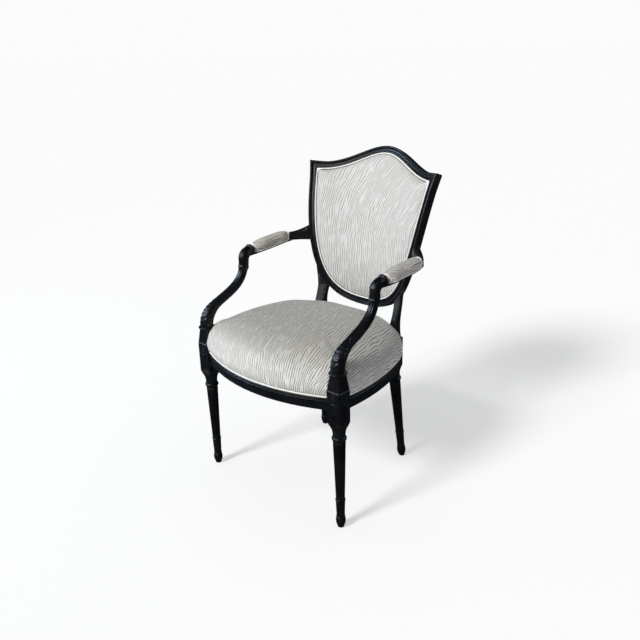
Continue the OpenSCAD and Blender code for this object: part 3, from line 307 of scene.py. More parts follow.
@dataclass(frozen=True)
class BarkVelvet:
    """Cream cut velvet whose pile stands in long wavy ridges between fine grooves.

    Attributes:
        name: The material's name.
        pitch: Metres from ridge to ridge.
        pile: The standing pile.
        tip: The pile where it catches the light.
        ground: The cloth in the grooves.
        depth: Depth of a groove in metres.
        groove: How plainly a groove shows, from 0 to 1.
        wander: How far the ridges wander from their lines.
        worn: Painted shade: a greyer pile for level tops, which show darker under the light than the
            sides.
        level_shade_share: How far level tops take that painted shade.
        bends: Ridges by which the broad, the short and the finest bends throw a ridge aside.
        bend_scales: Broad, short and finest bends in a metre, across and along the ridges.
        groove_range: Height of the wave at which a groove starts, and at which it is deepest.
        gap_scale: Gaps in the grooves in a metre, across and along them.
        pile_scale: Tufts in a metre.
        shade_scale: Clouds of tone in a metre.
        level_shade_range: Upward share of the surface's direction at which the painted shade starts, and
            at which it is full.
    """

    name: str
    pitch: float = 0.0074
    pile: Colour = (0.49, 0.485, 0.465)
    tip: Colour = (0.64, 0.65, 0.645)
    ground: Colour = (0.25, 0.215, 0.17)
    depth: float = 0.0012
    groove: float = 0.9
    wander: float = 1.2
    worn: Colour = (0.41, 0.4, 0.375)
    level_shade_share: float = 0.85
    bends: Triple = (2.6, 1.0, 0.36)
    bend_scales: Tuple[Triple, Triple, Triple] = ((16, 10, 0), (24, 27, 0), (260, 60, 0))
    groove_range: Pair = (0.42, 1.0)
    gap_scale: Triple = (130, 24, 0)
    pile_scale: float = 2400
    shade_scale: float = 16
    level_shade_range: Pair = (0.5, 1.05)

    def material(self) -> bpy.types.Material:
        """Builds the material, which reads the piece's "cloth" attribute.

        Returns:
            The material.
        """
        g = Graph(self.name)
        cloth = g.node("ShaderNodeAttribute", {"attribute_name": "cloth"}, out="Vector")
        across, _, fade = g.parts(cloth)
        flat = g.stretched(cloth, (1, 1, 0))
        broad = g.noise(g.stretched(flat, self.bend_scales[0]), 1.0, 1, 0.5)
        sway = g.noise(g.stretched(flat, self.bend_scales[1]), 1.0, 1, 0.5)
        fray = g.noise(g.stretched(flat, self.bend_scales[2]), 1.0, 2, 0.5)
        phase = across * (1 / self.pitch) + (broad - 0.5) * (self.bends[0] * self.wander)
        phase = phase + (sway - 0.5) * (self.bends[1] * self.wander) + (fray - 0.5) * self.bends[2]
        wave = g.maths("SINE", phase * TURN) * 0.5 + 0.5
        gaps = g.noise(g.stretched(flat, self.gap_scale), 1.0, 2, 0.5)
        # The cloth's third number fades the grooves; on the seat it carries painted light.
        groove = g.step(1.0 - wave, *self.groove_range) * g.step(gaps, 0.3, 0.52) * (1.0 - fade)
        pile = g.noise(cloth, self.pile_scale, 2, 0.6)
        shade = g.noise(cloth, self.shade_scale, 4, 0.6)
        tone = g.mix(0.25 + g.step(shade, 0.2, 0.8) * 0.5, self.pile, self.tip)
        tone = g.mix(g.step(pile, 0.35, 0.75) * 0.3, tone, self.tip)
        # Painted shade: level tops are greyed towards the worn colour, for the darker look of the pile on
        # top.
        upward = g.parts(g.node("ShaderNodeNewGeometry", out="Normal"))[2]
        tone = g.mix(g.step(upward, *self.level_shade_range) * self.level_shade_share, tone, self.worn)
        colour = g.mix(groove * self.groove, tone, self.ground)
        relief = g.bump(1.0 - groove, self.depth, 0.9)
        normal = g.bump(pile, 0.00022, 0.35, relief)
        rough = 0.75 + groove * 0.2
        return g.finish({"Base Color": colour, "Roughness": rough, "Normal": normal,
                         "Specular IOR Level": 0.2, "Sheen Weight": 0.25, "Sheen Roughness": 0.4,
                         "Sheen Tint": (0.92, 0.96, 1.0, 1.0)})


@dataclass(frozen=True)
class CordCloth:
    """Off-white cotton sewn over cord.

    Attributes:
        name: The material's name.
        light: Clean cotton.
        shade: Soiled cotton, and painted shade in the hollows of its weave.
        weave_scale: Scale of the slanting threads.
        soil_scale: Soiled patches in a metre.
    """

    name: str = "piping_cloth"
    light: Colour = (0.82, 0.81, 0.785)
    shade: Colour = (0.63, 0.6, 0.55)
    weave_scale: float = 210
    soil_scale: float = 45

    def material(self) -> bpy.types.Material:
        """Builds the material.

        Returns:
            The material.
        """
        g = Graph(self.name)
        place = g.place()
        weave = g.node("ShaderNodeTexWave", {"wave_type": "BANDS", "bands_direction": "DIAGONAL"},
                       {"Vector": place, "Scale": self.weave_scale, "Distortion": 1.2, "Detail": 2.0,
                        "Detail Scale": 2.0}, out="Fac")
        soil = g.noise(place, self.soil_scale, 3, 0.6)
        # Partly real soil, partly painted shade in the weave's hollows.
        dim = g.step(weave, 0.2, 0.8) * 0.35 + g.step(soil, 0.5, 0.75) * 0.3
        colour = g.mix(dim, self.light, self.shade)
        normal = g.bump(weave, 0.0003, 0.6)
        return g.finish({"Base Color": colour, "Roughness": 0.8, "Normal": normal,
                         "Specular IOR Level": 0.25, "Sheen Weight": 0.2})


@dataclass(frozen=True)
class PlainWeave:
    """A plain weave of crossing threads.

    Attributes:
        name: The material's name.
        thread: The threads.
        gap: What shows between them.
        pitch: Metres taken up by two threads.
        flat_axes: The two axes that the threads run along.
    """

    name: str
    thread: Colour
    gap: Colour
    pitch: float
    flat_axes: Tuple[int, int] = (0, 1)

    def material(self) -> bpy.types.Material:
        """Builds the material.

        Returns:
            The material.
        """
        g = Graph(self.name)
        place = g.parts(g.place())
        turns = TURN / self.pitch
        warp = g.maths("SINE", place[self.flat_axes[0]] * turns)
        weft = g.maths("SINE", place[self.flat_axes[1]] * turns)
        cross = warp * weft * 0.5 + 0.5
        slub = g.noise(g.place(), 260, 3, 0.6)
        colour = g.mix(g.step(cross * 0.6 + slub * 0.5, 0.25, 0.75), self.gap, self.thread)
        normal = g.bump(cross, self.pitch * 0.2, 0.7)
        return g.finish({"Base Color": colour, "Roughness": 0.88, "Normal": normal,
                         "Specular IOR Level": 0.2})


@dataclass(frozen=True)
class SawnBeech:
    """Bare beech, sawn and never polished.

    Attributes:
        name: The material's name.
        light: The wood between its grain lines.
        dark: The grain and its flecks.
        grain_scale: Grain lines in a metre, along each axis.
        fleck_scale: Flecks in a metre, along each axis.
    """

    name: str = "sawn_beech"
    light: Colour = (0.56, 0.39, 0.235)
    dark: Colour = (0.4, 0.25, 0.135)
    grain_scale: Triple = (40, 240, 240)
    fleck_scale: Triple = (300, 1500, 1500)

    def material(self) -> bpy.types.Material:
        """Builds the material.

        Returns:
            The material.
        """
        g = Graph(self.name)
        place = g.place()
        grain = g.noise(g.stretched(place, self.grain_scale), 1.0, 4, 0.6)
        flecks = g.noise(g.stretched(place, self.fleck_scale), 1.0, 2, 0.5)
        colour = g.mix(g.step(grain, 0.35, 0.7), self.light, self.dark)
        colour = g.mix(g.step(flecks, 0.6, 0.75) * 0.5, colour, self.dark)
        normal = g.bump(flecks, 0.0003, 0.5)
        return g.finish({"Base Color": colour, "Roughness": 0.65 + grain * 0.2, "Normal": normal})


@dataclass(frozen=True)
class PlainSteel:
    """Plain steel of glides and screws, a little scuffed.

    Attributes:
        name: The material's name.
        bright: Clean metal.
        dull: Scuffed metal.
        scuff_scale: Scuffs in a metre.
    """

    name: str = "plain_steel"
    bright: Colour = (0.5, 0.5, 0.5)
    dull: Colour = (0.32, 0.31, 0.3)
    scuff_scale: float = 600

    def material(self) -> bpy.types.Material:
        """Builds the material.

        Returns:
            The material.
        """
        g = Graph(self.name)
        scuff = g.noise(g.place(), self.scuff_scale, 4, 0.6)
        colour = g.mix(g.step(scuff, 0.4, 0.7), self.bright, self.dull)
        normal = g.bump(scuff, 0.0001, 0.4)
        rough = 0.3 + scuff * 0.2
        return g.finish({"Base Color": colour, "Metallic": 1.0, "Roughness": rough, "Normal": normal})


# Modelling


def pick(piece: bpy.types.Object) -> None:
    """Makes one object the only selected one, and active.

    Args:
        piece: The object.
    """
    if bpy.context.mode != "OBJECT":
        bpy.ops.object.mode_set(mode="OBJECT")
    bpy.ops.object.select_all(action="DESELECT")
    piece.select_set(True)
    bpy.context.view_layer.objects.active = piece


def modify(piece: bpy.types.Object, kind: str, **settings: Any) -> None:
    """Adds a modifier and applies it.

    Args:
        piece: The object.
        kind: Modifier type.
        settings: Its properties.
    """
    pick(piece)
    made = piece.modifiers.new(kind.lower(), kind)
    for key, value in settings.items():
        setattr(made, key, value)
    bpy.ops.object.modifier_apply(modifier=made.name)


def copy_of(node: str, name: str) -> bpy.types.Object:
    """A welded copy of a CAD node's mesh, to be shaped further.

    Args:
        node: The node's name.
        name: The new piece's name.

    Returns:
        The copy, at the origin.
    """
    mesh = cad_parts[node].data.copy()
    mesh.name = name
    piece = bpy.data.objects.new(name, mesh)
    bpy.context.scene.collection.objects.link(piece)
    piece.hide_render = False
    mesh.materials.clear()
    pick(piece)
    if mesh.has_custom_normals:
        bpy.ops.mesh.customdata_custom_splitnormals_clear()
    bpy.ops.object.mode_set(mode="EDIT")
    bpy.ops.mesh.select_all(action="SELECT")
    bpy.ops.mesh.remove_doubles(threshold=WELD)
    bpy.ops.mesh.dissolve_degenerate(threshold=WELD)
    bpy.ops.object.mode_set(mode="OBJECT")
    return piece


def soften(piece: bpy.types.Object, levels: int, crease_deg: float = 48, smooth_deg: float = 42) -> None:
    """Turns a faceted sweep into a smooth one, and keeps its sharp lines.

    Args:
        piece: The object.
        levels: Levels of subdivision.
        crease_deg: Edges sharper than this stay sharp.
        smooth_deg: Shading is smooth across edges blunter than this.
    """
    pick(piece)
    bpy.ops.object.mode_set(mode="EDIT")
    bpy.ops.mesh.select_all(action="SELECT")
    bpy.ops.mesh.tris_convert_to_quads(face_threshold=math.radians(QUAD_FACE_DEG),
                                       shape_threshold=math.radians(QUAD_SHAPE_DEG))
    bpy.ops.object.mode_set(mode="OBJECT")
    if levels:
        mesh = bmesh.new()
        mesh.from_mesh(piece.data)
        layer = mesh.edges.layers.float.new("crease_edge")
        limit = math.radians(crease_deg)
        for edge in mesh.edges:
            faces = edge.link_faces
            sharp = len(faces) != 2 or faces[0].normal.angle(faces[1].normal, 0) > limit
            edge[layer] = 1.0 if sharp else 0.0
        mesh.to_mesh(piece.data)
        mesh.free()
        modify(piece, "SUBSURF", levels=levels, render_levels=levels)
    pick(piece)
    bpy.ops.object.shade_smooth_by_angle(angle=math.radians(smooth_deg), keep_sharp_edges=False)


def coat(piece: bpy.types.Object, material: bpy.types.Material) -> None:
    """Gives a piece one material all over."""
    piece.data.materials.clear()
    piece.data.materials.append(material)


def settle(piece: bpy.types.Object, slot: Slot, material: bpy.types.Material, *nodes: str) -> None:
    """Dresses a finished piece, hangs it on the body and hides what it stands for.

    Args:
        piece: The object.
        slot: The record's slot that it belongs to; not used.
        material: Its finish.
        nodes: CAD nodes that it replaces.
    """
    coat(piece, material)
    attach(piece, ROOT)
    if nodes:
        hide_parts(*nodes)
    LOG.info("%s: %d faces, replaces %s", piece.name, len(piece.data.polygons),
             ", ".join(nodes) or "nothing")


def points(piece: bpy.types.Object) -> np.ndarray:
    """Reads the places of a piece's vertices.

    Args:
        piece: The object.

    Returns:
        One row for each vertex.
    """
    flat = np.zeros(len(piece.data.vertices) * 3, np.float32)
    piece.data.vertices.foreach_get("co", flat)
    return flat.reshape(-1, 3).astype(float)


def normals(piece: bpy.types.Object) -> np.ndarray:
    """Reads the normals at a piece's vertices.

    Args:
        piece: The object.

    Returns:
        One row for each vertex.
    """
    flat = np.zeros(len(piece.data.vertices) * 3, np.float32)
    piece.data.vertices.foreach_get("normal", flat)
    return flat.reshape(-1, 3).astype(float)


def put_points(piece: bpy.types.Object, places: np.ndarray) -> None:
    """Writes the places of a piece's vertices."""
    piece.data.vertices.foreach_set("co", places.astype(np.float32).ravel())
    piece.data.update()


def lay_cloth(piece: bpy.types.Object, across: np.ndarray, along: np.ndarray,
              fade: Optional[np.ndarray] = None) -> None:
    """Stores, at each vertex, its place across and along the cloth's ridges.

    Args:
        piece: The object.
        across: Metres across the ridges.
        along: Metres along them.
        fade: How far the grooves fade, up to 1; on the seat it is painted light where the window lamp
            lights the front. Below 0 they are deeper than usual.
    """
    layer = piece.data.attributes.new("cloth", "FLOAT_VECTOR", "POINT")
    flat = np.stack([across, along, np.zeros_like(across) if fade is None else fade], 1)
    layer.data.foreach_set("vector", flat.astype(np.float32).ravel())


def surface(piece: bpy.types.Object) -> BVHTree:
    """A tree of a piece's faces, to throw rays at."""
    return BVHTree.FromPolygons([v.co.copy() for v in piece.data.vertices],
                                [tuple(f.vertices) for f in piece.data.polygons])


def cord_along(name: str, path: Sequence[Vector], radius: float) -> bpy.types.Object:
    """Lays a round cord with closed ends through points.

    Args:
        name: The piece's name.
        path: The points.
        radius: The cord's radius.

    Returns:
        The cord, as a mesh at the origin.
    """
    data = bpy.data.curves.new(name, "CURVE")
    data.dimensions = "3D"
    data.bevel_depth = radius
    data.bevel_resolution = 3
    data.use_fill_caps = True
    line = data.splines.new("POLY")
    line.points.add(len(path) - 1)
    for point, place in zip(line.points, path):
        point.co = (*place, 1.0)
    line.use_smooth = True
    piece = bpy.data.objects.new(name, data)
    bpy.context.scene.collection.objects.link(piece)
    pick(piece)
    bpy.ops.object.convert(target="MESH")
    piece = bpy.context.view_layer.objects.active
    piece.name = name
    bpy.ops.object.shade_smooth_by_angle(angle=math.radians(50), keep_sharp_edges=False)
    return piece


@dataclass(frozen=True)
class Stuffing:
    """How a cushion is blown up as cloth over its filling.

    Attributes:
        voxel: Size of the cells that its mesh is rebuilt from, in metres.
        pressure: Pressure inside it.
        cap: Furthest that a point may move, in metres.
        frames: How long the cloth runs.
        smoothing: Rounds of smoothing before the run.
        easing: Rounds of smoothing after it, away from what is sewn down.
    """

    voxel: float
    pressure: float
    cap: float
    frames: int = 20
    smoothing: int = 3
    easing: int = 4

    def fill(self, piece: bpy.types.Object, held: Held) -> None:
        """Remeshes a piece, lets cloth swell over it, and caps how far it moved.

        Args:
            piece: The object.
            held: Says which vertices stay sewn down, from their places and normals.
        """
        pick(piece)
        piece.data.remesh_voxel_size = self.voxel
        bpy.ops.object.voxel_remesh()
        modify(piece, "SMOOTH", factor=0.5, iterations=self.smoothing)
        start = points(piece)
        sewn = held(start, normals(piece))
        self.swell(piece, start, sewn)
        modify(piece, "SUBSURF", levels=1, render_levels=1)
        pick(piece)
        bpy.ops.object.shade_smooth()

    def swell(self, piece: bpy.types.Object, start: np.ndarray, sewn: np.ndarray) -> None:
        """Runs the cloth and applies it, with no point moved further than the cap.

        Args:
            piece: The object.
            start: Its vertices before the run.
            sewn: True where a vertex is held.
        """
        group = piece.vertex_groups.new(name="sewn")
        group.add([int(i) for i in np.nonzero(sewn)[0]], 1.0, "REPLACE")
        cloth = piece.modifiers.new("cloth", "CLOTH")
        settings = cloth.settings
        settings.quality = 4
        settings.mass = 0.3
        settings.use_pressure = True
        settings.uniform_pressure_force = self.pressure
        settings.tension_stiffness = 12
        settings.compression_stiffness = 12
        settings.shear_stiffness = 6
        settings.bending_stiffness = 0.6
        settings.vertex_group_mass = "sewn"
        settings.effector_weights.gravity = 0
        cloth.collision_settings.use_self_collision = False
        cloth.point_cache.frame_start = 1
        cloth.point_cache.frame_end = self.frames
        scene = bpy.context.scene
        for number in range(1, self.frames + 1):
            scene.frame_set(number)
        pick(piece)
        bpy.ops.object.modifier_apply(modifier=cloth.name)
        scene.frame_set(1)
        moved = points(piece) - start
        length = np.linalg.norm(moved, axis=1, keepdims=True)
        moved *= np.minimum(1.0, self.cap / np.maximum(length, 1e-9))
        moved[sewn] = 0
        put_points(piece, start + moved)
        modify(piece, "SMOOTH", factor=0.5, iterations=self.easing, vertex_group="sewn",
               invert_vertex_group=True)
        piece.vertex_groups.clear()


# Carving: each relief takes millimetres across and up its panel, and gives its height in millimetres


def scales(across: np.ndarray, up: np.ndarray) -> np.ndarray:
    """Overlapping scales in rows.

    Args:
        across: Places across the panel.
        up: Places up it.

    Returns:
        The height at each place.
    """
    wide, tall = 8.5, 6.5
    half_wide, half_tall, seat = 0.56, 1.05, 0.35
    best = np.zeros_like(across)
    for lower in (0, 1):
        row = np.floor(up / tall) - lower
        du = (across / wide + 0.5 * (row % 2) + 0.5) % 1 - 0.5
        dv = (up - row * tall) / tall - seat
        far = np.sqrt((du / half_wide) ** 2 + (dv / half_tall) ** 2)
        dome = 0.5 + 1.5 * np.sqrt(np.clip(1 - far ** 2, 0, 1)) + 0.3 * dv
        best = np.maximum(best, np.where(far < 1, dome, 0))
    return best


def rosette(across: np.ndarray, up: np.ndarray, radius: float = 12.0) -> np.ndarray:
    """A flower of petals round a boss.

    Args:
        across: Places across it.
        up: Places up it.
        radius: Its radius.

    Returns:
        The height at each place.
    """
    petals, ring_at, ring_half, boss_radius, boss_tall = 8, 0.62, 0.38, 0.24, 2.2
    far = np.hypot(across, up) / radius
    turn = np.arctan2(up, across)
    petal = 0.6 + 0.4 * np.cos(petals * turn)
    ring = np.clip(1 - ((far - ring_at) / ring_half) ** 2, 0, 1) * (0.5 + 1.3 * petal)
    boss = boss_tall * np.sqrt(np.clip(1 - (far / boss_radius) ** 2, 0, 1))
    return np.maximum(ring, boss)


def husks(across: np.ndarray, up: np.ndarray, count: int = 3, step: float = 15.0,
          wide: float = 9.0) -> np.ndarray:
    """A chain of pointed husks that hang one below the other from the origin.

    Args:
        across: Places across the chain.
        up: Places up it.
        count: How many husks there are.
        step: From one husk's top to the next one's.
        wide: Half width of the first husk.

    Returns:
        The height at each place.
    """
    rib_pitch = 3.4
    best = np.zeros_like(across)
    for k in range(count):
        share = (-up - k * step) / (1.5 * step)
        half = wide * (1 - 0.14 * k) * np.sin(np.pi * np.clip(share, 0, 1) ** 0.65)
        off = np.abs(across) / np.maximum(half, 0.01)
        rib = 0.75 + 0.35 * np.cos(2 * np.pi * (np.abs(across) / rib_pitch + share * 1.2))
        body = (2.6 - 0.6 * share) * np.sqrt(np.clip(1 - off ** 2, 0, 1)) * rib
        lobe = np.where((share > 0) & (share < 1) & (off < 1), body, 0)
        best = np.maximum(best, lobe)
    return best


def leaf_panel(across: np.ndarray, up: np.ndarray) -> np.ndarray:
    """A band, a rosette and a chain of husks, for the faces of a leg's block.

    Args:
        across: Places across the face.
        up: Places up it.

    Returns:
        The height at each place.
    """
    band_at, band_half, band_tall = 38, 2.4, 1.7
    rosette_at, husks_from = 21, 7
    band = band_tall * np.sqrt(np.clip(1 - ((up - band_at) / band_half) ** 2, 0, 1))
    flower = rosette(across, up - rosette_at)
    return np.maximum(np.maximum(flower, husks(across, up - husks_from)), band)


@dataclass(frozen=True)
class CarvedPanel:
    """A relief cut on one face of a wooden piece, laid where rays from outside meet it.

    Attributes:
        name: The new piece's name.
        centre: A point in front of the middle of the panel.
        across: Direction across it.
        up: Direction up it.
        size: Width and height in metres.
        relief: Height of the carving at each place.
        cells: How many cells it has across and up.
        margin: Width of the rim over which it fades, as a share of the half size.
        outline: Gives its left and right ends at a level, all as shares of the half size.
    """

    name: str
    centre: Vector
    across: Vector
    up: Vector
    size: Pair
    relief: Relief
    cells: Tuple[int, int]
    margin: float
    outline: Optional[Callable[[float], Pair]] = None

    def build(self, ground: BVHTree, paint: bpy.types.Material) -> None:
        """Cuts the panel.

        Args:
            ground: The wood's surface.
            paint: Its finish.
        """
        bpy.ops.object.select_all(action="DESELECT")
        bpy.ops.mesh.primitive_grid_add(x_subdivisions=self.cells[0], y_subdivisions=self.cells[1], size=2)
        piece = bpy.context.object
        piece.name = piece.data.name = self.name
        places = points(piece)
        u, v = places[:, 0], places[:, 1]
        low, high = np.full_like(u, -1.0), np.full_like(u, 1.0)
        if self.outline:
            ends = np.array([self.outline(float(w)) for w in v])
            low, high = ends[:, 0], ends[:, 1]
        mid, half = (low + high) / 2, (high - low) / 2
        x = (mid + u * half) * self.size[0] / 2
        z = v * self.size[1] / 2
        rim = np.clip((1 - np.maximum(np.abs(u), np.abs(v))) / self.margin, 0, 1)
        tall = self.relief(x / MM, z / MM) * MM * rim + np.where(rim > 0, PANEL_LIFT, PANEL_SINK)
        inward = self.up.cross(self.across).normalized()
        rows = []
        for du, dv, h in zip(x, z, tall):
            start = self.centre + self.across * float(du) + self.up * float(dv)
            hit = ground.ray_cast(start, inward)[0]
            if hit is None:
                hit = ground.find_nearest(start)[0]
            rows.append(hit - inward * float(h))
        put_points(piece, np.array(rows))
        pick(piece)
        bpy.ops.object.mode_set(mode="EDIT")
        bpy.ops.mesh.select_all(action="SELECT")
        bpy.ops.mesh.normals_make_consistent(inside=False)
        bpy.ops.object.mode_set(mode="OBJECT")
        if sum(f.normal.dot(inward) * f.area for f in piece.data.polygons) > 0:
            piece.data.flip_normals()
        bpy.ops.object.shade_smooth_by_angle(angle=math.radians(60), keep_sharp_edges=False)
        settle(piece, Slot.PAINT, paint)


@dataclass(frozen=True)
class SweptStem:
    """The curve of an arm support in side view, with its leaf and its reeds.

    Attributes:
        curve: Control points (y, z) of its centre line.
        x: Its middle at the foot and at the knuckle.
        leaf_end: Share of its length at which the leaf's tip lies.
        leaf_reach: Degrees by which the leaf's foot reaches round from the front, each way.
        ribs: How many ribs the leaf has on each side.
        rib_slant: Degrees round the stem in which a rib climbs by one step.
        reed_count: How many reeds stand round the stem.
        reed_sink: Depth of the grooves between them in millimetres.
        reeds_end: Share of its length at which the reeds run out.
        ring_at: Share of its length at which the ring above the reeds lies.
        ring_half: Half width of that ring, as a share of the length.
        ring_tall: Its height in millimetres.
    """

    curve: Tuple[Pair, ...] = ((-0.2474, 0.475), (-0.2474, 0.567), (-0.0939, 0.53), (-0.0879, 0.642))
    x: Pair = (0.263, 0.2581)
    leaf_end: float = 0.44
    leaf_reach: float = 118
    ribs: float = 8.5
    rib_slant: float = 62
    reed_count: int = 7
    reed_sink: float = 1.8
    reeds_end: float = 0.92
    ring_at: float = 0.945
    ring_half: float = 0.011
    ring_tall: float = 1.4

    def places(self, pts: np.ndarray, side: Side) -> Tuple[np.ndarray, np.ndarray, np.ndarray]:
        """Finds where points lie along and round the stem.

        Args:
            pts: The points.
            side: Which support they belong to.

        Returns:
            Share of the length, angle from the front in degrees, and outward directions.
        """
        t = np.linspace(0, 1, 401)[:, None]
        a, b, c, d = (np.array(q) for q in self.curve)
        line = (1 - t) ** 3 * a + 3 * (1 - t) ** 2 * t * b + 3 * (1 - t) * t ** 2 * c + t ** 3 * d
        way = np.gradient(line, axis=0)
        way /= np.linalg.norm(way, axis=1, keepdims=True)
        gap = ((pts[:, None, 1:] - line[None]) ** 2).sum(2)
        near = gap.argmin(1)
        share = t[near, 0]
        off = pts[:, 1:] - line[near]
        front = np.stack([-way[near, 1], way[near, 0]], 1)
        forward = (off * front).sum(1)
        sideways = (pts[:, 0] * side.value) - (self.x[0] + (self.x[1] - self.x[0]) * share)
        turn = np.degrees(np.arctan2(sideways, forward))
        far = np.hypot(sideways, forward) + 1e-9
        out = np.stack([sideways / far * side.value, front[:, 0] * forward / far,
                        front[:, 1] * forward / far], 1)
        return share, turn, out

    def carve(self, piece: bpy.types.Object, side: Side) -> None:
        """Raises the leaf and sinks the grooves between the reeds.

        Args:
            piece: A finely divided copy of the support.
            side: Which support it is.
        """
        pts = points(piece)
        share, turn, out = self.places(pts, side)
        run = share / self.leaf_end
        aside = np.abs(turn)
        half = self.leaf_reach * np.clip(1 - run ** 2.2, 0, 1) + 1e-6
        inside = np.clip((half - aside) / 12, 0, 1) * np.clip((share - 0.015) / 0.02, 0, 1) * (run < 1)
        chevron = 0.5 + 0.5 * np.cos(2 * np.pi * (run * self.ribs - aside / self.rib_slant))
        midrib = np.clip(1 - aside / 9, 0, 1)
        leaf = inside * (0.35 + 1.15 * chevron ** 1.5 * np.clip(aside / 10, 0.2, 1) + 0.7 * midrib)
        grooves = np.clip(np.cos(np.radians(turn * self.reed_count + 180)), 0, 1) ** 2
        begun = np.clip((share - self.leaf_end * 0.82) / 0.05, 0, 1)
        stretch = begun * np.clip((self.reeds_end - share) / 0.04, 0, 1)
        reeds = -self.reed_sink * grooves * stretch * (1 - inside)
        ring = self.ring_tall * np.exp(-((share - self.ring_at) / self.ring_half) ** 2)
        put_points(piece, pts + out * ((leaf + reeds + ring) * MM)[:, None])


# Sub-assemblies


def sew_piping(node: str, cord: bpy.types.Material) -> None:
    """Rounds off one length of piping and dresses it.

    Args:
        node: The piping's CAD node.
        cord: Its cloth.
    """
    piece = copy_of(node, f"{node}_sewn")
    soften(piece, 1, crease_deg=70, smooth_deg=60)
    settle(piece, Slot.CORD, cord, node)


@dataclass
class Woodwork:
    """Everything made of painted wood: legs, rails, shield, supports and arms.

    Attributes:
        paint: The paint.
        dust_and_highlight: The same paint, lighter on the posts' scales: dust, and a painted highlight on
            their raised edges.
        stem: The curve of the arm supports.
        turned: Nodes that are painted as they are.
        jointed: Nodes that only get a smoother shading.
        swept: Nodes that are divided more finely.
        post_middle: Distance of the posts' scales from the middle of the chair.
        post_span: Lowest and highest level of the scales.
        post_panel: Width of the panel that they are cut from.
        post_search: Where a post's edges are looked for, with the step.
        post_rim: Plain wood left at each edge.
        knuckle_hub: Middle (y, z) of an arm's knuckle.
        bead_z: Level of the rails' bead.
        bead_radius: Its radius.
        bead_sunk: How deep its middle lies in the rail.
        bead_front: Half its length on the front rail.
        bead_side: Where it starts and ends on a side rail.
        bead_stops: How many points it is laid through.
        block_middle: Middle of the left front leg's block.
        block_panel: Width and height of the carving on a block's face.
        rail_outside: A distance outside the rails, from which rays are thrown at them.
        post_outside: The same in front of the posts.
    """

    paint: bpy.types.Material
    dust_and_highlight: bpy.types.Material
    stem: SweptStem = SweptStem()
    turned: Tuple[str, ...] = ("front_left_leg", "front_right_leg")
    jointed: Tuple[str, ...] = ("rear_left_leg", "rear_right_leg", "rear_seat_rail")
    swept: Tuple[str, ...] = (
        "front_seat_rail", "left_seat_rail", "right_seat_rail", "crest_rail", "left_shield_side",
        "right_shield_side", "shield_bottom_rail", "left_armrest", "right_armrest")
    post_middle: float = 0.15
    post_span: Pair = (0.468, 0.556)
    post_panel: float = 0.06
    post_search: Triple = (0.118, 0.19, 0.001)
    post_rim: float = 0.003
    knuckle_hub: Pair = (-0.076, 0.664)
    bead_z: float = 0.389
    bead_radius: float = 0.0022
    bead_sunk: float = 0.0004
    bead_front: float = 0.238
    bead_side: Pair = (-0.222, 0.215)
    bead_stops: int = 61
    block_middle: Triple = (0.263, -0.2474, 0.383)
    block_panel: Pair = (0.041, 0.086)
    rail_outside: float = 0.6
    post_outside: float = 0.5

    def build(self) -> None:
        """Paints the turned legs as they are, refines what was swept or jointed, and carves."""
        for node in self.turned:
            coat(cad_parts[node], self.paint)
            LOG.info("%s: painted as it is", node)
        for node in self.jointed:
            piece = copy_of(node, f"{node}_finished")
            soften(piece, 0, smooth_deg=32)
            settle(piece, Slot.PAINT, self.paint, node)
        for node in self.swept:
            piece = copy_of(node, f"{node}_finished")
            arm = node.endswith("armrest")
            soften(piece, 2 if arm else 1)
            if arm:
                self.knuckle(piece, Side.LEFT if node.startswith("left") else Side.RIGHT)
            settle(piece, Slot.PAINT, self.paint, node)
        self.beads()
        for side in Side:
            self.support(side)
            self.post(side)
            self.block(side)

    def knuckle(self, piece: bpy.types.Object, side: Side) -> None:
        """Raises a small leaf over the knuckle at the front of an arm.

        Args:
            piece: A finely divided copy of the arm.
            side: Which arm it is.
        """
        y, z = self.knuckle_hub
        pts, out = points(piece), normals(piece)
        off = np.abs(pts[:, 0] * side.value - self.stem.x[1])
        turn = np.arctan2(pts[:, 2] - z, y - pts[:, 1])
        mask = np.clip((-0.05 - pts[:, 1]) / 0.01, 0, 1) * np.clip((pts[:, 2] - z + 0.012) / 0.008, 0, 1)
        ribs = 0.5 + 0.5 * np.cos(2 * np.pi * (turn * 3.2 - off / 0.011))
        midrib = 0.8 * np.clip(1 - off / 0.0022, 0, 1)
        tall = mask * (1.3 * ribs ** 1.5 * np.clip(off / 0.003, 0.2, 1) + midrib)
        put_points(piece, pts + out * (tall * MM)[:, None])

    def beads(self) -> None:
        """Runs a thin bead along the three curved rails, just under the piping."""
        xs = np.linspace(-self.bead_front, self.bead_front, self.bead_stops)
        ys = np.linspace(*self.bead_side, self.bead_stops)
        runs = [("front", Vector((0, 1, 0)), [Vector((x, -self.rail_outside, self.bead_z)) for x in xs])]
        for side in Side:
            starts = [Vector((side.value * self.rail_outside, y, self.bead_z)) for y in ys]
            runs.append((side.word, Vector((-side.value, 0, 0)), starts))
        for word, inward, starts in runs:
            ground = surface(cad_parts[f"{word}_seat_rail"])
            hits = [ground.ray_cast(start, inward)[0] for start in starts]
            path = [hit + inward * self.bead_sunk for hit in hits if hit is not None]
            settle(cord_along(f"{word}_rail_bead", path, self.bead_radius), Slot.PAINT, self.paint)

    def support(self, side: Side) -> None:
        """Carves one arm support with a leaf below and reeds above.

        Args:
            side: Which support it is.
        """
        node = f"{side.word}_arm_support"
        piece = copy_of(node, f"{node}_carved")
        soften(piece, 3)
        self.stem.carve(piece, side)
        settle(piece, Slot.PAINT, self.paint, node)

    def post(self, side: Side) -> None:
        """Cuts scales on the front of one back post, inside the post's own outline.

        Args:
            side: Which post it is.
        """
        ground = surface(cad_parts[f"rear_{side.word}_leg"])
        low, high = self.post_span
        middle, half = self.post_middle, self.post_panel / 2
        ahead = Vector((0, 1, 0))

